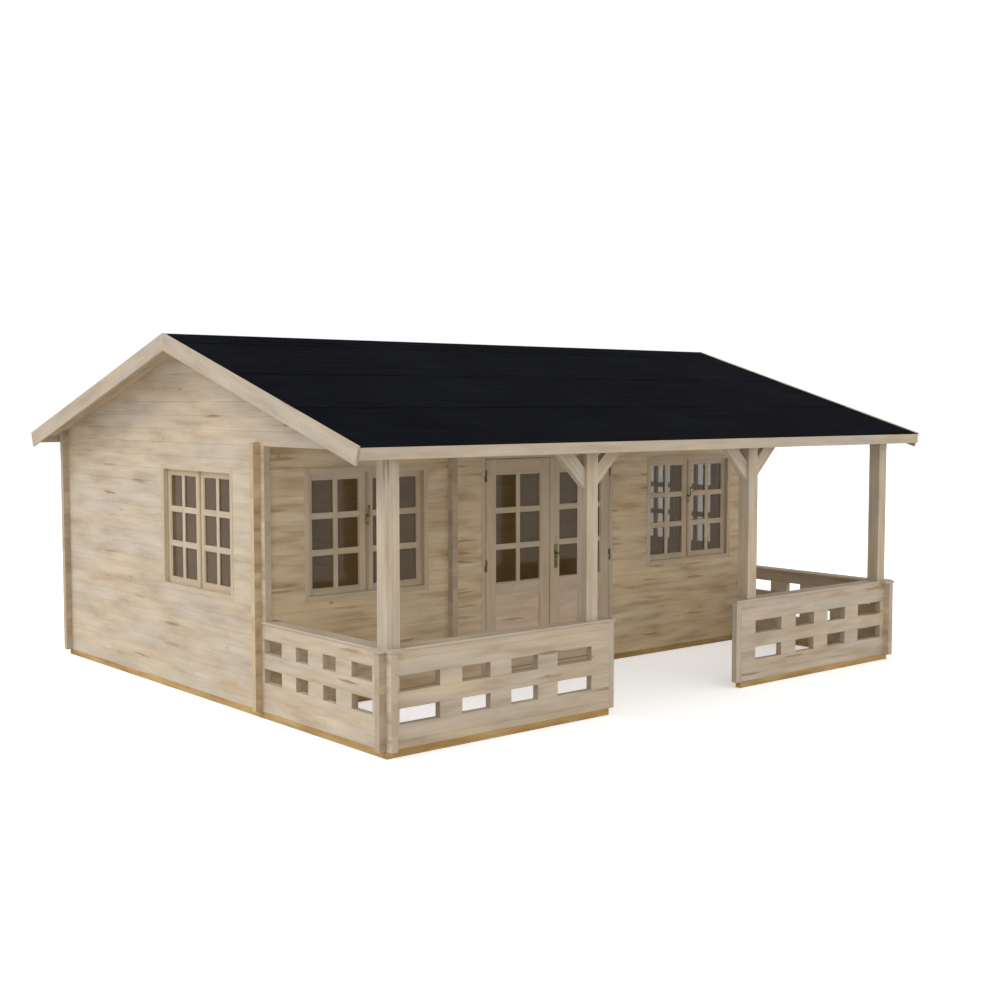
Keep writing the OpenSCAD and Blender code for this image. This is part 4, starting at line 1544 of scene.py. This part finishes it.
class Rod:
    """A round bar that is drawn step by step from a disc, along its own Z."""

    def __init__(self, target: Mesh, radius: float, place: Matrix, sides: int = 20) -> None:
        """Starts a bar.

        Args:
            target: The mesh that takes it in.
            radius: Its radius.
            place: Its start, with Z along it.
            sides: Its sides.
        """
        self.target, self.place = target, place
        self.part = bmesh.new()
        disc = bmesh.ops.create_circle(self.part, cap_ends=True, radius=radius, segments=sides)["verts"]
        bmesh.ops.reverse_faces(self.part, faces=self.part.faces)
        self.rim = [edge for edge in self.part.edges if all(vertex in disc for vertex in edge.verts)]
        self.here = Matrix.Identity(4)

    def _step(self, move: Matrix, taper: float = 1.0) -> None:
        """Extrudes the rim once and moves it, in the frame of the bar's end."""
        new = bmesh.ops.extrude_edge_only(self.part, edges=self.rim)["geom"]
        verts = [item for item in new if isinstance(item, bmesh.types.BMVert)]
        edges = (item for item in new if isinstance(item, bmesh.types.BMEdge))
        self.rim = [edge for edge in edges if all(vertex in verts for vertex in edge.verts)]
        change = self.here @ move @ Matrix.Diagonal((taper, taper, 1, 1)) @ self.here.inverted()
        bmesh.ops.transform(self.part, matrix=change, verts=verts)
        self.here = self.here @ move

    def straight(self, length: float, taper: float = 1.0) -> None:
        """Draws the bar straight on, with its radius times taper at the end."""
        self._step(Matrix.Translation((0, 0, length)), taper)

    def bend(self, radius: float, degrees: float, steps: int, axis: str, way: int) -> None:
        """Bends the bar about a line beside it.

        Args:
            radius: Radius of the bend's middle line.
            degrees: The bend's angle.
            steps: Its steps.
            axis: The bar's own axis that the line follows, X or Y.
            way: 1 or -1, the side that it bends to.
        """
        turn = math.radians(degrees / steps) * way
        offset = Vector((0, -way * radius, 0)) if axis == "X" else Vector((way * radius, 0, 0))
        pivot = Matrix.Translation(offset)
        for _ in range(steps):
            self._step(pivot @ Matrix.Rotation(turn, 4, axis) @ pivot.inverted())

    def close(self, dome: float = 0.35) -> None:
        """Rounds off the end and moves the bar into its mesh."""
        reach = 0.0025
        self.straight(reach, 1.0 - dome * 0.4)
        self.straight(reach * 0.5, 1.0 - dome)
        bmesh.ops.contextual_create(self.part, geom=self.rim)
        bmesh.ops.recalc_face_normals(self.part, faces=self.part.faces)
        for face in self.part.faces:
            face.smooth = len(face.verts) == 4
        bmesh.ops.transform(self.part, matrix=self.place, verts=self.part.verts)
        merge(self.part, self.target)


@dataclass
class DoorFurniture:
    """Handle plates with lock cylinders, the lever, and the hinges' tips.

    Attributes:
        finishes: The shared materials.
        corner: Radius of the plates' corners.
        grip_r: Radius of the lever's grip.
        neck_r: Radius of the lever's neck.
        bend_r: Radius of the lever's bend.
        cylinder_r: Radius of the lock cylinder.
        cylinder_drop: Distance from the lever's axle down to the lock cylinder.
        tip_r: Radius of a hinge's tips.
        ring_r: Radius of the ring round the lever.
    """

    finishes: Finishes
    corner: float = 0.012
    grip_r: float = 0.008
    neck_r: float = 0.009
    bend_r: float = 0.016
    cylinder_r: float = 0.0085
    cylinder_drop: float = 0.082
    tip_r: float = 0.007
    ring_r: float = 0.015

    def build(self) -> None:
        """Builds everything on the doors that is metal."""
        self._plates()
        self._lever()
        self._hinges()

    def _plates(self) -> None:
        """Both plates, each with a ring round the lever and a lock cylinder."""
        mesh = bmesh.new()
        screws = Fixings("handle_plate_screws", radius=0.0035, height=0.0009, sides=12)
        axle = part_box("door_lever")
        axis_z = (axle[0].z + axle[1].z) / 2
        for low, high in solids("door_handle_plates"):
            middle = (low + high) / 2
            outward = -1 if middle.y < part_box("right_door")[0].y else 1
            face = low.y if outward < 0 else high.y
            rounded_plate(mesh, low, high, self.corner, 0.0012)
            ring, cylinder = (0.0, self.ring_r, 0.004), (self.cylinder_drop, self.cylinder_r, 0.002)
            for drop, radius, lift in (ring, cylinder):
                centre = Matrix.Translation((middle.x, face + outward * lift / 2, axis_z - drop))
                verts = bmesh.ops.create_cone(
                    mesh, cap_ends=True, segments=24, radius1=radius, radius2=radius, depth=lift,
                    matrix=centre @ Matrix.Rotation(math.pi / 2, 4, "X"),
                )["verts"]
                rim = {edge for vertex in verts for edge in vertex.link_edges if not runs(edge, Y)}
                soften(mesh, rim, 0.0008)
            for level in (low.z + 0.012, high.z - 0.012):
                screws.head((middle.x, face, level), (0, outward, 0))
        brass = [self.finishes.brass]
        make_piece("lever_plates", mesh, brass, "brass", "door_handle_plates", body="right_door")
        screws.finish(self.finishes.brass, "brass", body="right_door")

    def _lever(self) -> None:
        """Two levers on one axle, each a neck, a bend and a grip."""
        mesh = bmesh.new()
        low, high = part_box("door_lever")
        plate_low, plate_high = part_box("door_handle_plates")
        centre_x, centre_z = (plate_low.x + plate_high.x) / 2, (low.z + high.z) / 2
        reach = high.x - centre_x
        for way, face, far in ((-1, plate_low.y, low.y), (1, plate_high.y, high.y)):
            neck = abs(far - face) - self.grip_r - self.bend_r
            turn = Matrix.Rotation(-way * math.pi / 2, 4, "X")
            rod = Rod(mesh, self.neck_r, Matrix.Translation((centre_x, face, centre_z)) @ turn)
            rod.straight(neck, self.grip_r / self.neck_r)
            rod.bend(self.bend_r, 90, 7, "Y", 1)
            grip = reach - self.bend_r - 0.004
            rod.straight(grip * 0.55, 0.9)
            rod.straight(grip * 0.45, 0.86)
            rod.close()
        make_piece("lever_handles", mesh, [self.finishes.brass], "brass", "door_lever", body="door_lever")

    def _hinges(self) -> None:
        """Finishes the hinges and rounds off both ends of each."""
        for node in ("frame_hinges", "left_door_hinges", "right_door_hinges"):
            dress(node, self.finishes.bronze)
        for joint, body, node in (
            ("left_door_hinge", "left_door", "left_door_hinges"),
            ("right_door_hinge", "right_door", "right_door_hinges"),
        ):
            axis = self._axis(joint)
            tops = [high.z for _, high in solids(node)]
            self._tips(f"{node}_tips", axis, tops, 1, body)
            bottoms = [low.z for low, high in solids("frame_hinges") if low.x < axis.x < high.x]
            self._tips(f"{joint}_frame_tips", axis, bottoms, -1, CABIN)

    def _axis(self, joint: str) -> Vector:
        """A point on a joint's axis."""
        for row in frame["record"]["behaviour"]["joints"]:
            if row["name"] == joint:
                return Vector(row["pos_m"])
        raise KeyError(joint)

    def _tips(self, name: str, axis: Vector, levels: Sequence[float], way: int, body: str) -> None:
        """Turned tips on the ends of the hinge barrels."""
        mesh = bmesh.new()
        for level in levels:
            turn = Matrix.Identity(4) if way > 0 else Matrix.Rotation(math.pi, 4, "X")
            rod = Rod(mesh, self.tip_r, Matrix.Translation((axis.x, axis.y, level)) @ turn, sides=16)
            rod.straight(0.0015, 0.72)
            rod.straight(0.002, 1.25)
            rod.close(0.5)
        make_piece(name, mesh, [self.finishes.bronze], "brass", body=body)


# ---------------------------------------------------------------- base and floor


@dataclass
class Base:
    """Treated beams, joists and floor boards.

    Attributes:
        finishes: The shared materials.
        board_w: Width of a floor board.
        passage: Sides of the passage through the inner wall.
        gap: Gap between the boards and the walls and sill.
    """

    finishes: Finishes
    board_w: float = 0.096
    passage: tuple[float, float] = (0.025, 0.875)
    gap: float = 0.003

    def build(self) -> None:
        """Builds every piece of the base."""
        stock = Stock("base_timbers", seed=71)
        for node, along in (("side_base_beams", Y), ("cross_base_beams", X), ("floor_joists", Y)):
            for low, high in solids(node):
                stock.bar(low, high, along, 0.003)
        stock.finish(
            self.finishes.treated, "side_base_beams", "cross_base_beams", "floor_joists", slot="treated_wood",
        )
        self._boards()

    def _boards(self) -> None:
        """Floor boards across the joists, with a passage through the inner wall."""
        stock = Stock("floor_boarding", seed=72)
        low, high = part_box("floor_boards")
        wall_low, wall_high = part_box("inner_wall")
        sill_low, sill_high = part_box("door_frame")
        gap = self.gap
        for start, end in shares(low.y, high.y, self.board_w):
            for left, right in ((low.x, wall_low.x - gap), (wall_high.x + gap, high.x)):
                spans = [(left, right)]
                if start < sill_high.y + gap and left < sill_low.x < right:
                    spans = [(left, sill_low.x - gap), (sill_high.x + gap, right)]
                for near, far in spans:
                    stock.bar((near, start, low.z), (far, end, high.z), X, 0.001)
        first, last = self.passage
        stock.bar((wall_low.x - gap, first + gap, low.z), (wall_high.x + gap, last - gap, high.z), Y, 0.001)
        stock.finish(self.finishes.floor, "floor_boards", end=self.finishes.spruce_end)


# ---------------------------------------------------------------- stage


@dataclass(frozen=True)
class Lamp:
    """A far lamp with soft shadows.

    Attributes:
        name: The lamp's name.
        towards: The way from the cabin to the lamp.
        strength: Its strength.
        spread: How wide it looks from the cabin, in degrees.
        colour: Its colour.
    """

    name: str
    towards: tuple[float, float, float]
    strength: float
    spread: float
    colour: Colour

    def build(self, scene: bpy.types.Scene) -> None:
        """Adds the lamp to the scene."""
        data = bpy.data.lights.new(self.name, "SUN")
        data.energy = self.strength
        data.angle = math.radians(self.spread)
        data.color = self.colour
        lamp = bpy.data.objects.new(self.name, data)
        lamp.rotation_euler = Vector(self.towards).to_track_quat("Z", "Y").to_euler()
        scene.collection.objects.link(lamp)


@dataclass
class Stage:
    """Camera, lights, floor and background.

    Attributes:
        eye: The camera's place.
        heading: The camera's turn from +Y towards +X, in degrees.
        tilt: How far the camera looks down, in degrees.
        lens: Focal length on a 36 mm sensor, in millimetres.
    """

    eye: tuple[float, float, float] = (-8.789, -10.827, 2.560)
    heading: float = 40.145
    tilt: float = 3.99
    lens: float = 49.99

    def build(self) -> None:
        """Sets up everything that isn't part of the cabin."""
        scene = bpy.context.scene
        scene.view_settings.view_transform = "Standard"
        self._camera(scene)
        self._lights(scene)
        self._floor()

    def _camera(self, scene: bpy.types.Scene) -> None:
        """The camera at its viewing angle."""
        data = bpy.data.cameras.new("camera")
        data.lens = self.lens
        data.sensor_width = 36.0
        data.clip_end = 200.0
        camera = bpy.data.objects.new("camera", data)
        camera.location = self.eye
        camera.rotation_euler = (math.radians(90 - self.tilt), 0, -math.radians(self.heading))
        scene.collection.objects.link(camera)
        scene.camera = camera

    def _lights(self, scene: bpy.types.Scene) -> None:
        """A bright even sky, a soft sun from the left and a wide fill from the front."""
        tree = Tree("sky", "worlds")
        scene.world = tree.owner
        sky = tree.add("ShaderNodeBackground", {"Color": (1.0, 0.985, 0.965, 1.0), "Strength": 0.76})
        white = tree.add("ShaderNodeBackground", {"Color": (1.0, 1.0, 1.0, 1.0)})
        mix = tree.add("ShaderNodeMixShader", {0: tree.seen(), 1: sky.outputs[0], 2: white.outputs[0]})
        tree.add("ShaderNodeOutputWorld", {"Surface": mix.outputs[0]})
        for lamp in (
            Lamp("sun", (-0.68, 0.2, 0.7), 1.10, 35, (0.97, 0.98, 1.0)),
            Lamp("front_fill", (-0.32, -0.9, 0.3), 0.63, 70, (1.0, 0.975, 0.94)),
        ):
            lamp.build(scene)

    def _floor(self) -> None:
        """A wide pale floor that keeps a faint shadow."""
        mesh = bmesh.new()
        bmesh.ops.create_grid(mesh, x_segments=1, y_segments=1, size=60)
        data = bpy.data.meshes.new("ground_plane")
        mesh.to_mesh(data)
        mesh.free()
        floor = bpy.data.objects.new("ground_plane", data)
        floor.location.z = -0.001
        bpy.context.scene.collection.objects.link(floor)
        tree = Tree("pale_floor")
        matt = tree.add("ShaderNodeBsdfDiffuse", {"Color": (0.86, 0.86, 0.86, 1.0)})
        glow = tree.add("ShaderNodeEmission", {"Strength": tree.math("MULTIPLY", tree.seen(), 0.45)})
        both = tree.add("ShaderNodeAddShader", {0: matt.outputs[0], 1: glow.outputs[0]})
        tree.add("ShaderNodeOutputMaterial", {"Surface": both.outputs[0]})
        data.materials.append(tree.owner)


def main() -> None:
    """Builds the cabin's looks in order."""
    logging.basicConfig(level=logging.INFO, format="%(name)s: %(message)s")
    Stage().build()
    finishes = Finishes()
    LogWalls().dress()
    Roof(finishes).build()
    Porch(finishes).build()
    Base(finishes).build()
    Windows(finishes).build()
    Doors(finishes).build()
    DoorFurniture(finishes).build()
    for node in ("window_glass", "left_door_glass", "right_door_glass"):
        dress(node, finishes.glass)


if __name__ == "__main__":
    main()
